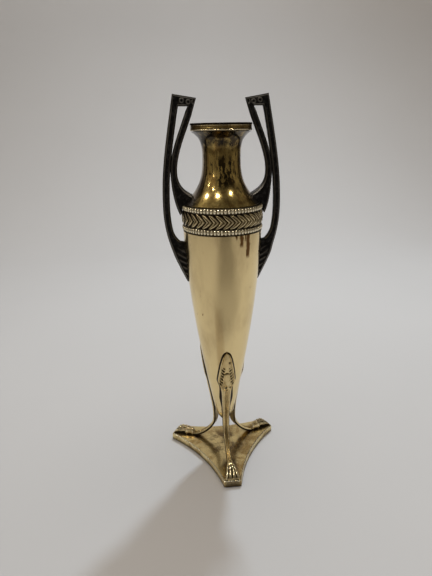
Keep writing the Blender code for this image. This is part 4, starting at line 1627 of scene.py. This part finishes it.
@dataclass(frozen=True)
class HeadCarving:
    """Carving of a leaf head: a border, a channel, a boss with its rim, hatching and dots.

    Cuts and lifts are shares of the leaf's thickness, and dots are (distance aside, height).
    """

    border: Hill = Hill(0.91, 0.13)
    border_lift: float = 0.28
    border_wear: float = 0.75
    channel: Hill = Hill(0.74, 0.12)
    channel_cut: float = 0.2
    channel_grime: float = 0.5
    boss_height: float = 60.7 * MM
    boss_half: Pair = (2.5 * MM, 5.5 * MM)
    boss_lift: float = 0.34
    boss_top: Fade = (0.6, 0.9)
    boss_wear: float = 0.3
    rim: Hill = Hill(1.0, 0.15)
    rim_cut: float = 0.2
    rim_grime: float = 0.4
    rim_shadow: float = 0.8
    rim_shadow_lean: float = 0.3
    rim_shadow_rise: Fade = (0.45, 0.85)
    hatch_pitch: float = 2.45 * MM
    hatch_slant: float = 0.9
    hatch_sharp: float = 1.5
    hatch_side: float = 2.0 * MM
    hatch_spread: float = 0.12
    hatch_across: Fade = (1.2 * MM, 0.55 * MM)
    hatch_foot: Fade = (55.5 * MM, 57.0 * MM)
    hatch_head: Fade = (71.0 * MM, 69.5 * MM)
    hatch_line: float = 69.0 * MM
    hatch_right: float = 0.6
    hatch_cut: float = 0.5
    hatch_grime: float = 1.7
    dots: tuple[Pair, ...] = (
        (-0.3 * MM, 54.4 * MM), (2.1 * MM, 54.8 * MM), (-1.5 * MM, 52.3 * MM), (0.3 * MM, 52.3 * MM),
        (1.6 * MM, 74.0 * MM),
    )
    dot_edge: Fade = (0.75 * MM, 0.25 * MM)
    dot_tall: float = 0.8
    dot_cut: float = 0.4

    def hatching(self, height: float, side: float) -> float:
        """Depth of the slanting notches beside the boss, from 0 to 1."""
        phase = (height - self.hatch_slant * abs(side)) / self.hatch_pitch
        column = self.hatch_side + self.hatch_spread * (self.hatch_line - height)
        notch = (0.5 + 0.5 * math.cos(2 * math.pi * phase)) ** self.hatch_sharp
        notch *= ease(*self.hatch_across, abs(abs(side) - column))
        notch *= ease(*self.hatch_foot, height) * ease(*self.hatch_head, height)
        return notch if side < 0 else notch * self.hatch_right

    def dotting(self, height: float, side: float) -> float:
        """Depth of the punched dots, from 0 to 1."""
        gaps = (math.hypot(side - x, (height - z) * self.dot_tall) for x, z in self.dots)
        return max(ease(*self.dot_edge, gap) for gap in gaps)

    def relief(self, height: float, side: float, edge: float) -> Pair:
        """Lift and recess at one place.

        Args:
            height: height above the base's underside.
            side: distance from the leaf's middle.
            edge: the same as a share of the half width, from 0 to 1.

        Returns:
            Lift as a share of the leaf's thickness, and the recess value.
        """
        border, channel = self.border.at(edge), self.channel.at(edge)
        across, along = side / self.boss_half[0], (height - self.boss_height) / self.boss_half[1]
        reach = math.hypot(across, along)
        boss = max(0.0, 1 - reach**2) ** 0.5
        rim = self.rim.at(reach)
        shadow = rim * ease(*self.rim_shadow_rise, along - self.rim_shadow_lean * across)
        hatch, dots = self.hatching(height, side), self.dotting(height, side)
        lift = self.border_lift * border - self.channel_cut * channel + self.boss_lift * boss
        lift -= self.rim_cut * rim + self.hatch_cut * hatch + self.dot_cut * dots
        recess = max(self.channel_grime * channel, self.rim_shadow * shadow, self.rim_grime * rim,
                     min(1.0, self.hatch_grime * hatch), dots)
        # wear with a painted highlight on the raised border, and wear on the top of the boss
        worn = self.border_wear * border * (1 - recess) + self.boss_wear * ease(*self.boss_top, boss)
        return lift, recess - worn


@dataclass
class Legs:
    """Three equal castings: a leaf head on the body, a grooved shank and a four-toed paw."""

    vessel: Vessel
    base: "BasePlate"
    carving: HeadCarving = HeadCarving()
    across_steps: int = 56
    under_skip: int = 4
    crease: float = 50.0
    film: float = 0.05 * MM
    film_low: float = 0.15 * MM
    # grime with painted shade on the film round the leg, and painted shade on its underside
    film_grime_and_shade: float = 0.75
    underside_shade: float = 0.5
    leaf_tip: float = 80.7 * MM
    leaf_end: float = 53.0 * MM
    leaf_width: float = 10.9 * MM
    leaf_least: float = 0.05
    leaf_widest: float = 0.73
    leaf_blunt: float = 0.45
    leaf_waist: float = 0.45
    leaf_thickness: float = 1.4 * MM
    tip_thin: float = 0.7
    tip_share: float = 0.15
    leaf_stop: Fade = (1.08, 0.97)
    leaf_steps: int = 160
    leaf_crowding: float = 1.35
    # the line of patina and painted shade round the leaf, wider where it paints the shank's shade and
    # reflection on the body
    patina_and_shade_line: float = 1.0 * MM
    patina_and_shade_wider: float = 0.8
    patina_and_shade_shank: Fade = (0.9, 1.3)
    patina_and_shade_loss: float = 0.65
    patina_and_shade_fade: float = 0.35
    patina_and_shade_steps: int = 9
    shank_width: float = 4.6 * MM
    shank_thickness: float = 1.6 * MM
    shank_taper: float = 0.7
    shank_rib: Hill = Hill(0.64, 0.30, 0.30)
    shank_wear: Hill = Hill(0.62, 0.26, 1.3)
    shank_edge: Fade = (0.86, 0.96)
    shank_edge_grime_and_shade: float = 0.9
    groove: Fade = (0.40, 0.14)
    groove_cut: float = 0.50
    groove_grime: float = 0.45
    edge_round: float = 0.6
    edge_sharp: int = 4
    edge_dark: Fade = (0.96, 1.0)
    leg_leaves: float = 36.0 * MM
    waist_radius: float = 6.0 * MM
    waist_height: float = 23.5 * MM
    waist_pull: float = 0.34
    waist_unbend: float = 1.25
    waist_steps: int = 16
    sweep_pulls: Pulls = (0.36, 0.43, 0.12)
    sweep_steps: int = 40
    ankle_steps: int = 25
    heel_radius: float = 22.5 * MM
    ankle_width: float = 3.4 * MM
    paw_width: float = 10.1 * MM
    paw_spread: float = 1.25
    paw_height: float = 5.0 * MM
    paw_foot: float = 0.9
    paw_back: float = 0.92
    paw_fall: float = 0.40
    paw_fall_sharp: int = 5
    paw_dome: float = 3.4
    paw_dome_least: float = 0.04
    paw_ankle: float = 0.16
    paw_setback: float = 1.0 * MM
    paw_steps: int = 64
    paw_crowding: float = 1.5
    paw_end: Fade = (1.0, 0.95)
    paw_groove_cut: float = 0.42
    paw_groove_grime: float = 0.6
    paw_wear: float = 0.85
    paw_cuff: float = 0.39
    cuff_reach: float = 0.07
    cuff_lift: float = 0.08
    cuff_wear_reach: float = 0.06
    ankle_ring: float = 0.8
    seam_after: float = 0.08
    seam_reach: float = 0.05
    seam_grime: float = 0.7
    toes: int = 4
    toe_round: float = 0.97
    toe_start: Fade = (0.01, 0.12)
    toe_cleft: float = 1.9 * MM
    toe_cleft_limit: float = 0.6
    cleft_grime_and_shade: Fade = (0.08, 0.32)
    toe_wear: Fade = (0.1, 0.0)
    knuckles: tuple[Hill, ...] = (Hill(0.56, 0.10), Hill(0.75, 0.09, 0.9), Hill(0.92, 0.07, 0.7))
    knuckle_lift: float = 0.14
    knuckle_side: Fade = (1.0, 0.9)
    knuckle_wear: Fade = (0.25, 0.1)
    claw_height: float = 0.5 * MM

    def down(self, height: float) -> float:
        """Way down the leaf head at a height, 0 at its tip and 1 at its end."""
        return (self.leaf_tip - height) / (self.leaf_tip - self.leaf_end)

    def width_at(self, height: float) -> float:
        """Width of the leaf head, and of the shank that it runs out into."""
        down = self.down(height)
        if down > 1:
            share = (self.leaf_end - height) / (self.leaf_end - self.leg_leaves)
            return blend(self.width_at(self.leaf_end), self.shank_width, share**self.shank_taper)
        swell = max(0.0, down / self.leaf_widest) ** self.leaf_blunt
        waist = 1 - self.leaf_waist * ease(self.leaf_widest, 1.0, down)
        return self.leaf_width * max(self.leaf_least, swell * waist)

    def skirt_at(self, height: float) -> float:
        """Width of the line of patina and painted shade: even round the leaf, wider by the shank, where
        it paints the shank's shade and reflection on the body, then fading out.
        """
        down, end = self.down(height), self.down(self.leg_leaves)
        wider = 1 + self.patina_and_shade_wider * ease(*self.patina_and_shade_shank, down)
        return self.patina_and_shade_line * wider * (1 - self.patina_and_shade_loss * ease(end - self.patina_and_shade_fade, end, down))

    def leaf_stations(self) -> list[Station]:
        """Places down the body, from the leaf's tip to where the leg leaves it."""
        found = []
        clear = offset_line(self.vessel.body_side, self.vessel.clearance)
        for share in shares(self.leaf_steps):
            height = blend(self.leaf_tip, self.leg_leaves, share**self.leaf_crowding)
            radius = radius_at(clear, height)
            down = self.down(height)
            thickness = self.leaf_thickness * blend(self.tip_thin, 1.0, down / self.tip_share)
            thickness = blend(thickness, self.shank_thickness, down - 1)
            found.append(
                Station((radius, height), radius / math.cos(self.vessel.lower_lean),
                        self.width_at(height), thickness, leaf=ease(*self.leaf_stop, down),
                        skirt=self.skirt_at(height))
            )
        return found

    def stations(self) -> list[Station]:
        """Places down the leg's underside, from the leaf's tip to the claws."""
        found = self.leaf_stations()
        start, edge = found[-1].spot, found[-1].skirt
        waist = (self.waist_radius, self.waist_height)
        pull = (self.leg_leaves - self.waist_height) * self.waist_pull
        lean = math.sin(self.vessel.lower_lean)
        first = bezier(start, (-pull * lean, -pull), (0.0, pull), waist, self.waist_steps)
        for i, spot in enumerate(first[1:], 1):
            found.append(
                Station(spot, found[-1].bend * self.waist_unbend, self.shank_width, self.shank_thickness,
                        skirt=blend(edge, Station.skirt, i / self.patina_and_shade_steps))
            )
        heel = (self.heel_radius, self.base.thickness + self.vessel.clearance)
        fall, run = waist[1] - heel[1], heel[0] - waist[0]
        down, back, up = self.sweep_pulls
        sweep = bezier(waist, (0.0, -fall * down), (-run * back, fall * up), heel, self.sweep_steps)
        for i, spot in enumerate(sweep[1:], 1):
            width = blend(self.shank_width, self.ankle_width, i / self.ankle_steps)
            found.append(Station(spot, 1.0, width, self.shank_thickness))
        end = self.base.reach - self.paw_setback
        for way in shares(self.paw_steps)[1:]:
            share = 1 - (1 - way) ** self.paw_crowding
            radius = blend(self.heel_radius, end, share)
            width = blend(self.ankle_width, self.paw_width, share**self.paw_spread)
            found.append(Station((radius, heel[1]), 1.0, width, self.paw_top(share), paw=share))
        return found

    def paw_top(self, share: float) -> float:
        """Top of the paw above the base: a steep smooth foot, the cuff, then the falling toes."""
        if share < self.paw_cuff:
            rise = ease(0.0, self.paw_ankle, share)
            top = blend(self.shank_thickness, self.paw_foot * self.paw_height, rise)
        else:
            out = (share - self.paw_cuff) / (1 - self.paw_cuff)
            back = self.paw_back * self.paw_height
            top = blend(back, self.claw_height, blend(out**self.paw_fall_sharp, out, self.paw_fall))
        return top + self.cuff_lift * self.paw_height * bump(self.paw_cuff, self.cuff_reach, share)

    def leg_face(self, station: Station, place: float) -> Pair:
        """Height and recess of the upper face on the leaf head and the shank.

        Args:
            station: one station of the leg.
            place: place across it, from -1 to 1.

        Returns:
            Height above the underside, and the recess value.
        """
        edge = abs(place)
        thickness, leaf = station.thickness, station.leaf
        groove = ease(*self.groove, edge)
        lift, recess = self.carving.relief(station.spot[1], place * station.width / 2, edge)
        shank = self.shank_rib.at(edge) - self.groove_cut * groove
        # wear with a painted highlight on the shank's ridges, grime in its groove, grime with painted
        # shade at its edges, and the outermost edge darkened
        plain = self.groove_grime * groove - self.shank_wear.at(edge)
        plain += self.shank_edge_grime_and_shade * ease(*self.shank_edge, edge)
        rounded = 1 - self.edge_round * edge**self.edge_sharp
        total = thickness * (rounded + leaf * lift + (1 - leaf) * shank)
        return total, max(leaf * recess + (1 - leaf) * plain, ease(*self.edge_dark, edge))

    def paw_face(self, station: Station, place: float) -> Pair:
        """Height and recess of the upper face on the paw.

        Args:
            station: one station of the paw.
            place: place across it, from -1 to 1.

        Returns:
            Height above the underside, and the recess value.
        """
        edge = abs(place)
        thickness, paw = station.thickness, station.paw
        toe = (self.toes * (place + 1) / 2) % 1.0 * 2 - 1
        dip = 1 - math.sqrt(max(0.0, 1 - self.toe_round * toe * toe))
        spread = ease(self.paw_cuff + self.toe_start[0], self.paw_cuff + self.toe_start[1], paw)
        domed = thickness * math.sqrt(max(self.paw_dome_least, 1 - edge**self.paw_dome))
        rounded = thickness * (1 - self.edge_round * edge**self.edge_sharp)
        rounded = blend(rounded, domed, ease(0.0, self.paw_ankle, paw))
        cleft = min(self.toe_cleft, self.toe_cleft_limit * rounded) * dip * spread
        groove = ease(*self.groove, edge) * max(0.0, 1 - paw / self.paw_ankle)
        joint = spread * max(hill.at(paw) for hill in self.knuckles) * ease(*self.knuckle_side, edge)
        relief = self.knuckle_lift * joint - self.paw_groove_cut * groove
        rings = (self.paw_cuff, self.ankle_ring * self.paw_ankle)
        cuff = max(bump(ring, self.cuff_wear_reach, paw) for ring in rings)
        seam = self.seam_grime * bump(self.paw_cuff + self.seam_after, self.seam_reach, paw)
        # grime with painted shade in the toe clefts; wear with painted highlights on the toes, knuckles
        # and cuff rings
        recess = max(spread * ease(*self.cleft_grime_and_shade, dip), self.paw_groove_grime * groove, seam,
                     ease(*self.edge_dark, edge))
        worn = max(spread * ease(*self.toe_wear, dip), joint * ease(*self.knuckle_wear, dip), cuff)
        recess = recess * ease(*self.paw_end, paw) - self.paw_wear * worn
        return rounded - cleft + thickness * relief, recess

    def section(self, station: Station, normal: Vector,
                places: Sequence[float]) -> tuple[list[Vector], list[float]]:
        """One outline of the leg, bent round the body where it lies on it.

        Args:
            station: one station of the leg.
            normal: outward direction there, as (radius, height).
            places: places across the leg, from -1 to 1.

        Returns:
            The points, once round, and their recess values.
        """
        face = self.paw_face if station.paw else self.leg_face
        half = station.width / 2
        far = half + station.skirt
        rows = [(p * half, *face(station, p)) for p in places]
        # the film round the leg carries patina and painted shade, and the underside is painted with shade
        rows += [(far, -self.film, self.film_grime_and_shade), (far, -self.film_low, 1.0)]
        under = reversed(places[::self.under_skip])
        rows += [(p * half, -self.film_low, self.underside_shade) for p in under]
        rows += [(-far, -self.film_low, 1.0), (-far, -self.film, self.film_grime_and_shade)]
        points = []
        for side, lift, _ in rows:
            turn = side / station.bend
            reach = station.bend + lift
            out = reach * math.cos(turn) - station.bend
            points.append(Vector((station.spot[0] + normal.x * out, reach * math.sin(turn),
                                  station.spot[1] + normal.y * out)))
        return points, [recess for _, _, recess in rows]

    def casting(self) -> Mesh:
        """One leg, pointing along +X, with a thin line of patina and painted shade round its leaf."""
        stations = self.stations()
        normals = line_normals([station.spot for station in stations])
        places = [2 * share - 1 for share in shares(self.across_steps)]
        sections, recess = [], []
        for station, normal in zip(stations, normals):
            points, values = self.section(station, normal.normalized(), places)
            sections.append(points)
            recess += values
        return lofted("leg", sections, recess, self.crease)

    def build(self, effects: SharedEffects) -> None:
        """Makes and dresses the three legs."""
        material = LEG_BRASS.material(effects)
        dress_copies("paw_leg", self.casting(), Arm, material, LEG_BRASS.slot, "leg")


# Base


@dataclass
class BasePlate:
    """Three-armed plate with hollow sides, rounded edges and countersunk holes."""

    reach: float = 39.0 * MM
    end_width: float = 10.8 * MM
    waist: float = 19.3 * MM
    thickness: float = 4.6 * MM
    foot_edge: float = 0.35 * MM
    round_edge: float = 0.8 * MM
    round_steps: int = 6
    corner: float = 1.05 * MM
    corner_steps: int = 4
    arc_steps: int = 40
    crease: float = 55.0
    screw_radius: float = 27.0 * MM
    screw_head: float = 5.8 * MM
    screw_shank: float = 2.6 * MM
    screw_recess: float = 0.3 * MM
    screw_steps: int = 40
    clearance: float = 0.3 * MM
    # grime with painted shade on the lower side and wear with a painted highlight on the upper edge,
    # level by level, and more painted shade on the arms' ends
    level_shade_and_highlight: tuple[float, ...] = (0.75, 0.62, 0.30, -0.2, -1.0, -1.0, -0.9, -0.4, 0.0)
    end_shade: float = 0.15
    end_shade_levels: int = 3
    end_shade_depth: float = 0.2 * MM

    def outline(self) -> list[Vector]:
        """Corners of the arms joined by hollow arcs, once round."""
        arms = len(Arm)
        step = 2 * math.pi / arms
        corner = Vector((self.reach, self.end_width / 2))
        side = Vector((math.cos(step / 2), math.sin(step / 2)))
        far = (corner.length_squared - self.waist**2) / (2 * (corner.dot(side) - self.waist))
        radius, middle = far - self.waist, far * side
        start = math.atan2(corner.y - middle.y, corner.x - middle.x)
        half = math.remainder(math.atan2(-side.y, -side.x) - start, 2 * math.pi)
        points = []
        for arm in range(arms):
            turn = Matrix.Rotation(math.radians(Arm.FRONT.value) + arm * step, 2)
            for share in shares(self.arc_steps):
                angle = start + 2 * half * share
                place = middle + radius * Vector((math.cos(angle), math.sin(angle)))
                points.append(turn @ place)
        return self.softened(points)

    def softened(self, points: list[Vector]) -> list[Vector]:
        """Rounds each arm's two corners.

        Args:
            points: the outline, arc by arc.

        Returns:
            The outline with a short curve in place of each corner.
        """
        rounded = []
        for i, corner in enumerate(points):
            if i % (self.arc_steps + 1) not in (0, self.arc_steps):
                rounded.append(corner)
                continue
            near = corner + (points[i - 1] - corner).normalized() * self.corner
            far = corner + (points[(i + 1) % len(points)] - corner).normalized() * self.corner
            for share in shares(self.corner_steps):
                rounded.append(near.lerp(corner, share).lerp(corner.lerp(far, share), share))
        return rounded

    def levels(self) -> list[Pair]:
        """(inset, height) of the stacked outlines, from the underside to the top."""
        found = [(self.foot_edge, 0.0), (0.0, self.foot_edge)]
        for share in shares(self.round_steps):
            angle = math.pi / 2 * share
            found.append((self.round_edge * (1 - math.cos(angle)),
                          self.thickness - self.round_edge * (1 - math.sin(angle))))
        return found

    def recesses(self, outline: list[Vector]) -> list[float]:
        """Recess values: grime and painted shade low down, more painted shade at the arms' ends, and wear
        with a painted highlight on the upper edge.
        """
        ends = []
        for point in outline:
            reach = max(point.dot(round_point(1.0, math.radians(arm.value), 0.0).xy) for arm in Arm)
            ends.append(ease(self.reach - self.end_shade_depth, self.reach, reach))
        recess = []
        for level, value in enumerate(self.level_shade_and_highlight):
            dark = self.end_shade if level < self.end_shade_levels else 0.0
            recess += [value + dark * end * (1 - value) for end in ends]
        return recess

    def holes(self) -> list[Mesh]:
        """Cutters for the countersunk holes, one in each arm."""
        head, shank = (size / 2 + self.clearance for size in (self.screw_head, self.screw_shank))
        above, below = 2 * self.thickness, -self.thickness
        line = [(0.0, above), (shank, above), (shank, self.screw_recess + head - shank),
                (head, self.screw_recess), (head, below), (0.0, below)]
        made = []
        for arm in Arm:
            hole = turned("hole", line, self.screw_steps)
            place = round_point(self.screw_radius, math.radians(arm.value), 0.0)
            hole.transform(Matrix.Translation(place))
            made.append(hole)
        return made

    def plate(self) -> Mesh:
        """The plate as stacked outlines, drawn in at its rounded edges, with its holes."""
        outline = self.outline()
        inward = line_normals(outline, closed=True)
        sections = [
            [Vector((*(p + n * inset), height)) for p, n in zip(outline, inward)]
            for inset, height in self.levels()
        ]
        mesh = lofted("plate", sections, self.recesses(outline), self.crease)
        return cut_from("plate", mesh, self.holes())

    def build(self, effects: SharedEffects) -> None:
        """Makes and dresses the plate, and dresses the screws."""
        dress(placed("footed_plate", self.plate()), BASE_BRASS.material(effects), BASE_BRASS.slot,
              "base_plate")
        screws = SCREW_BRASS.material(effects)
        for arm in Arm:
            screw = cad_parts["base_screw_" + arm.name.lower()]
            screw.data.materials.clear()
            screw.data.materials.append(screws)
            LOG.info("%s: solid kept", screw.name)


# Studio


@dataclass(frozen=True)
class Lamp:
    """One soft lamp, aimed at the vase, seen either in reflections or as soft light alone."""

    name: str
    place: Place
    size: float
    power: float
    colour: Colour = (1.0, 0.97, 0.93)
    mirrored: bool = True


@dataclass
class Studio:
    """Pale sweep, soft lamps and the camera at the photograph's angle."""

    eye: Place = (-32.8 * MM, -271.5 * MM, 210.0 * MM)
    yaw: float = 0.1041
    pitch: float = 0.3248
    roll: float = -0.0179
    lens: float = 29.06
    sensor: float = 36.0
    clip: Pair = (0.01, 20.0)
    aim: Place = (0.0, 0.0, 120.0 * MM)
    floor_colour: Colour = (0.545, 0.522, 0.505)
    dark_colour: Colour = (0.150, 0.136, 0.118)
    room_colour: Colour = (0.34, 0.32, 0.29)
    dim_colour: Colour = (0.075, 0.068, 0.058)
    glow_colour: Colour = (0.30, 0.275, 0.235)
    horizon_colour: Colour = (0.13, 0.118, 0.100)
    beyond_colour: Colour = (0.205, 0.19, 0.168)
    left_glow: Fade = (-0.1, -0.75)
    right_glow: Rise = (0.3, 0.85, 0.0, 0.45)
    glow_rise: Fade = (0.05, 0.25)
    horizon: Fade = (0.25, 0.10)
    sweep_half: float = 1.8
    sweep_front: float = -1.6
    sweep_top: float = 2.0
    sweep_bend: float = 0.45
    sweep_bend_start: float = 0.50
    sweep_bend_steps: int = 12
    sweep_drop: float = 0.1 * MM
    fold_scale: float = 4.0
    fold_detail: float = 3.0
    fold_shade_dim: float = 0.93
    reflected_dark_side: Fade = (0.68, 0.80)
    reflected_dark_front: Fade = (-0.55, -0.67)
    shade_front: Rise = (-0.17, -0.26, 0.0, 0.66)
    shade_near: Rise = (-0.095, -0.145, 0.0, 0.42)
    shade_middle: float = 0.03
    shade_side: Fade = (0.23, 0.07)
    cloth_roughness: float = 0.95
    cloth_specular: float = 0.1
    lamps: tuple[Lamp, ...] = (
        Lamp("sky", (0.10, 0.15, 1.3), 1.2, 8.7, (1.0, 0.95, 0.88), False),
        Lamp("window", (0.215, 0.45, 0.89), 0.08, 4.9, (0.70, 0.85, 1.0), False),
        Lamp("bulb_left", (-0.564, 0.049, 0.884), 0.07, 1.5),
        Lamp("bulb_middle", (-0.220, -0.306, 1.002), 0.08, 2.0),
        Lamp("bulb_right", (0.377, -0.351, 0.925), 0.06, 1.2),
        Lamp("bulb_high", (-0.532, -0.366, 0.821), 0.03, 0.25),
        Lamp("bulb_side", (-0.766, -0.125, 0.654), 0.025, 0.16),
        Lamp("bulb_low", (-0.702, -0.521, 0.439), 0.025, 0.12),
    )

    def camera(self) -> None:
        """Places the camera."""
        data = bpy.data.cameras.new("camera")
        data.sensor_width = self.sensor
        data.lens = self.lens
        data.clip_start, data.clip_end = self.clip
        ahead = Vector((math.sin(self.yaw) * math.cos(self.pitch),
                        math.cos(self.yaw) * math.cos(self.pitch), -math.sin(self.pitch)))
        right = Vector((math.cos(self.yaw), -math.sin(self.yaw), 0.0))
        up = right.cross(ahead)
        turn = math.cos(self.roll), math.sin(self.roll)
        right, up = turn[0] * right + turn[1] * up, turn[0] * up - turn[1] * right
        camera = placed("camera", data)
        place = Matrix((right, up, -ahead)).transposed().to_4x4()
        place.translation = Vector(self.eye)
        camera.matrix_world = place
        bpy.context.scene.camera = camera

    def cloth(self) -> Material:
        """Pale cloth with painted shade of folds; in reflections only, it is painted dark beyond its
        sides and front, standing for the dim room, and with painted shade near the front.
        """
        made, sheet, shader = new_material("pale_cloth")
        # painted shade of cloth folds on the flat sheet
        fold_shade = sheet.noise(sheet.place(), self.fold_scale, self.fold_detail)
        parts = sheet.parts()
        # a painted dark room beyond the sides and front, and painted shade near the front, both seen only
        # in reflections
        far = sheet.largest(
            sheet.step(sheet.math("ABSOLUTE", parts["X"]), *self.reflected_dark_side),
            sheet.step(parts["Y"], *self.reflected_dark_front),
        )
        shade = sheet.largest(
            sheet.step(parts["Y"], *self.shade_front),
            sheet.step(parts["Y"], *self.shade_near),
        )
        aside = sheet.apart(parts["X"], self.shade_middle)
        shade = sheet.product(shade, sheet.step(aside, *self.shade_side))
        mirrored = sheet.add("ShaderNodeLightPath").outputs["Is Glossy Ray"]
        dark = sheet.product(sheet.largest(far, shade), mirrored)
        dim = tuple(channel * self.fold_shade_dim for channel in self.floor_colour)
        colour = sheet.mix(fold_shade, dim, self.floor_colour)
        colour = sheet.mix(dark, colour, self.dark_colour)
        sheet.feed(shader.inputs["Base Color"], colour)
        shader.inputs["Roughness"].default_value = self.cloth_roughness
        shader.inputs["Specular IOR Level"].default_value = self.cloth_specular
        return made

    def sweep(self) -> None:
        """Cloth that runs along the table and up behind the vase."""
        start, bend = self.sweep_bend_start, self.sweep_bend
        profile = [(self.sweep_front, 0.0), (start, 0.0)]
        for share in shares(self.sweep_bend_steps)[1:]:
            angle = math.pi / 2 * share
            profile.append((start + bend * math.sin(angle), bend * (1 - math.cos(angle))))
        profile.append((start + bend, self.sweep_top))
        solid = bmesh.new()
        ends = (-self.sweep_half, self.sweep_half)
        rows = [[solid.verts.new((x, y, z - self.sweep_drop)) for x in ends] for y, z in profile]
        skin(solid, rows, closed=False)
        sweep = placed("sweep", finish_mesh("sweep", solid, [], NO_CREASE))
        sweep.data.materials.append(self.cloth())

    def world(self) -> None:
        """Soft room light; in reflections a dim room that is paler aside, most to the left."""
        world = bpy.data.worlds.new("room")
        bpy.context.scene.world = world
        world.use_nodes = True
        sheet = Sheet(world.node_tree)
        back = world.node_tree.nodes["Background"]
        parts = sheet.parts("Generated")
        sides = sheet.largest(
            sheet.step(parts["X"], *self.left_glow),
            sheet.step(parts["X"], *self.right_glow),
        )
        aside = sheet.product(sides, sheet.step(parts["Z"], *self.glow_rise))
        seen = sheet.mix(aside, self.dim_colour, self.glow_colour)
        level = sheet.step(sheet.math("ABSOLUTE", parts["Z"]), *self.horizon)
        seen = sheet.mix(level, seen, self.horizon_colour)
        path = sheet.add("ShaderNodeLightPath").outputs
        colour = sheet.mix(path["Is Glossy Ray"], self.room_colour, seen)
        colour = sheet.mix(path["Is Camera Ray"], colour, self.beyond_colour)
        sheet.feed(back.inputs["Color"], colour)
        back.inputs["Strength"].default_value = 1.0

    def light(self) -> None:
        """Places the lamps."""
        for lamp in self.lamps:
            data = bpy.data.lights.new(lamp.name, "AREA")
            data.shape = "DISK"
            data.size = lamp.size
            data.energy = lamp.power
            data.color = lamp.colour
            made = placed(lamp.name, data)
            made.location = lamp.place
            made.rotation_mode = "QUATERNION"
            towards = Vector(self.aim) - Vector(lamp.place)
            made.rotation_quaternion = towards.to_track_quat("-Z", "Y")
            made.visible_glossy, made.visible_diffuse = lamp.mirrored, not lamp.mirrored

    def build(self) -> None:
        """Sets the stage."""
        bpy.context.scene.view_settings.view_transform = "Standard"
        self.camera()
        self.sweep()
        self.world()
        self.light()
        LOG.info("studio: %d lamps", len(self.lamps))


def main() -> None:
    logging.basicConfig(level=logging.INFO, format="%(name)s %(message)s")
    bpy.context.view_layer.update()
    effects = SharedEffects()
    vessel = Vessel()
    base = BasePlate()
    Studio().build()
    vessel.build(effects)
    OrnamentBand(vessel).build(effects)
    Handles(vessel).build(effects)
    Legs(vessel, base).build(effects)
    base.build(effects)


if __name__ == "__main__":
    main()
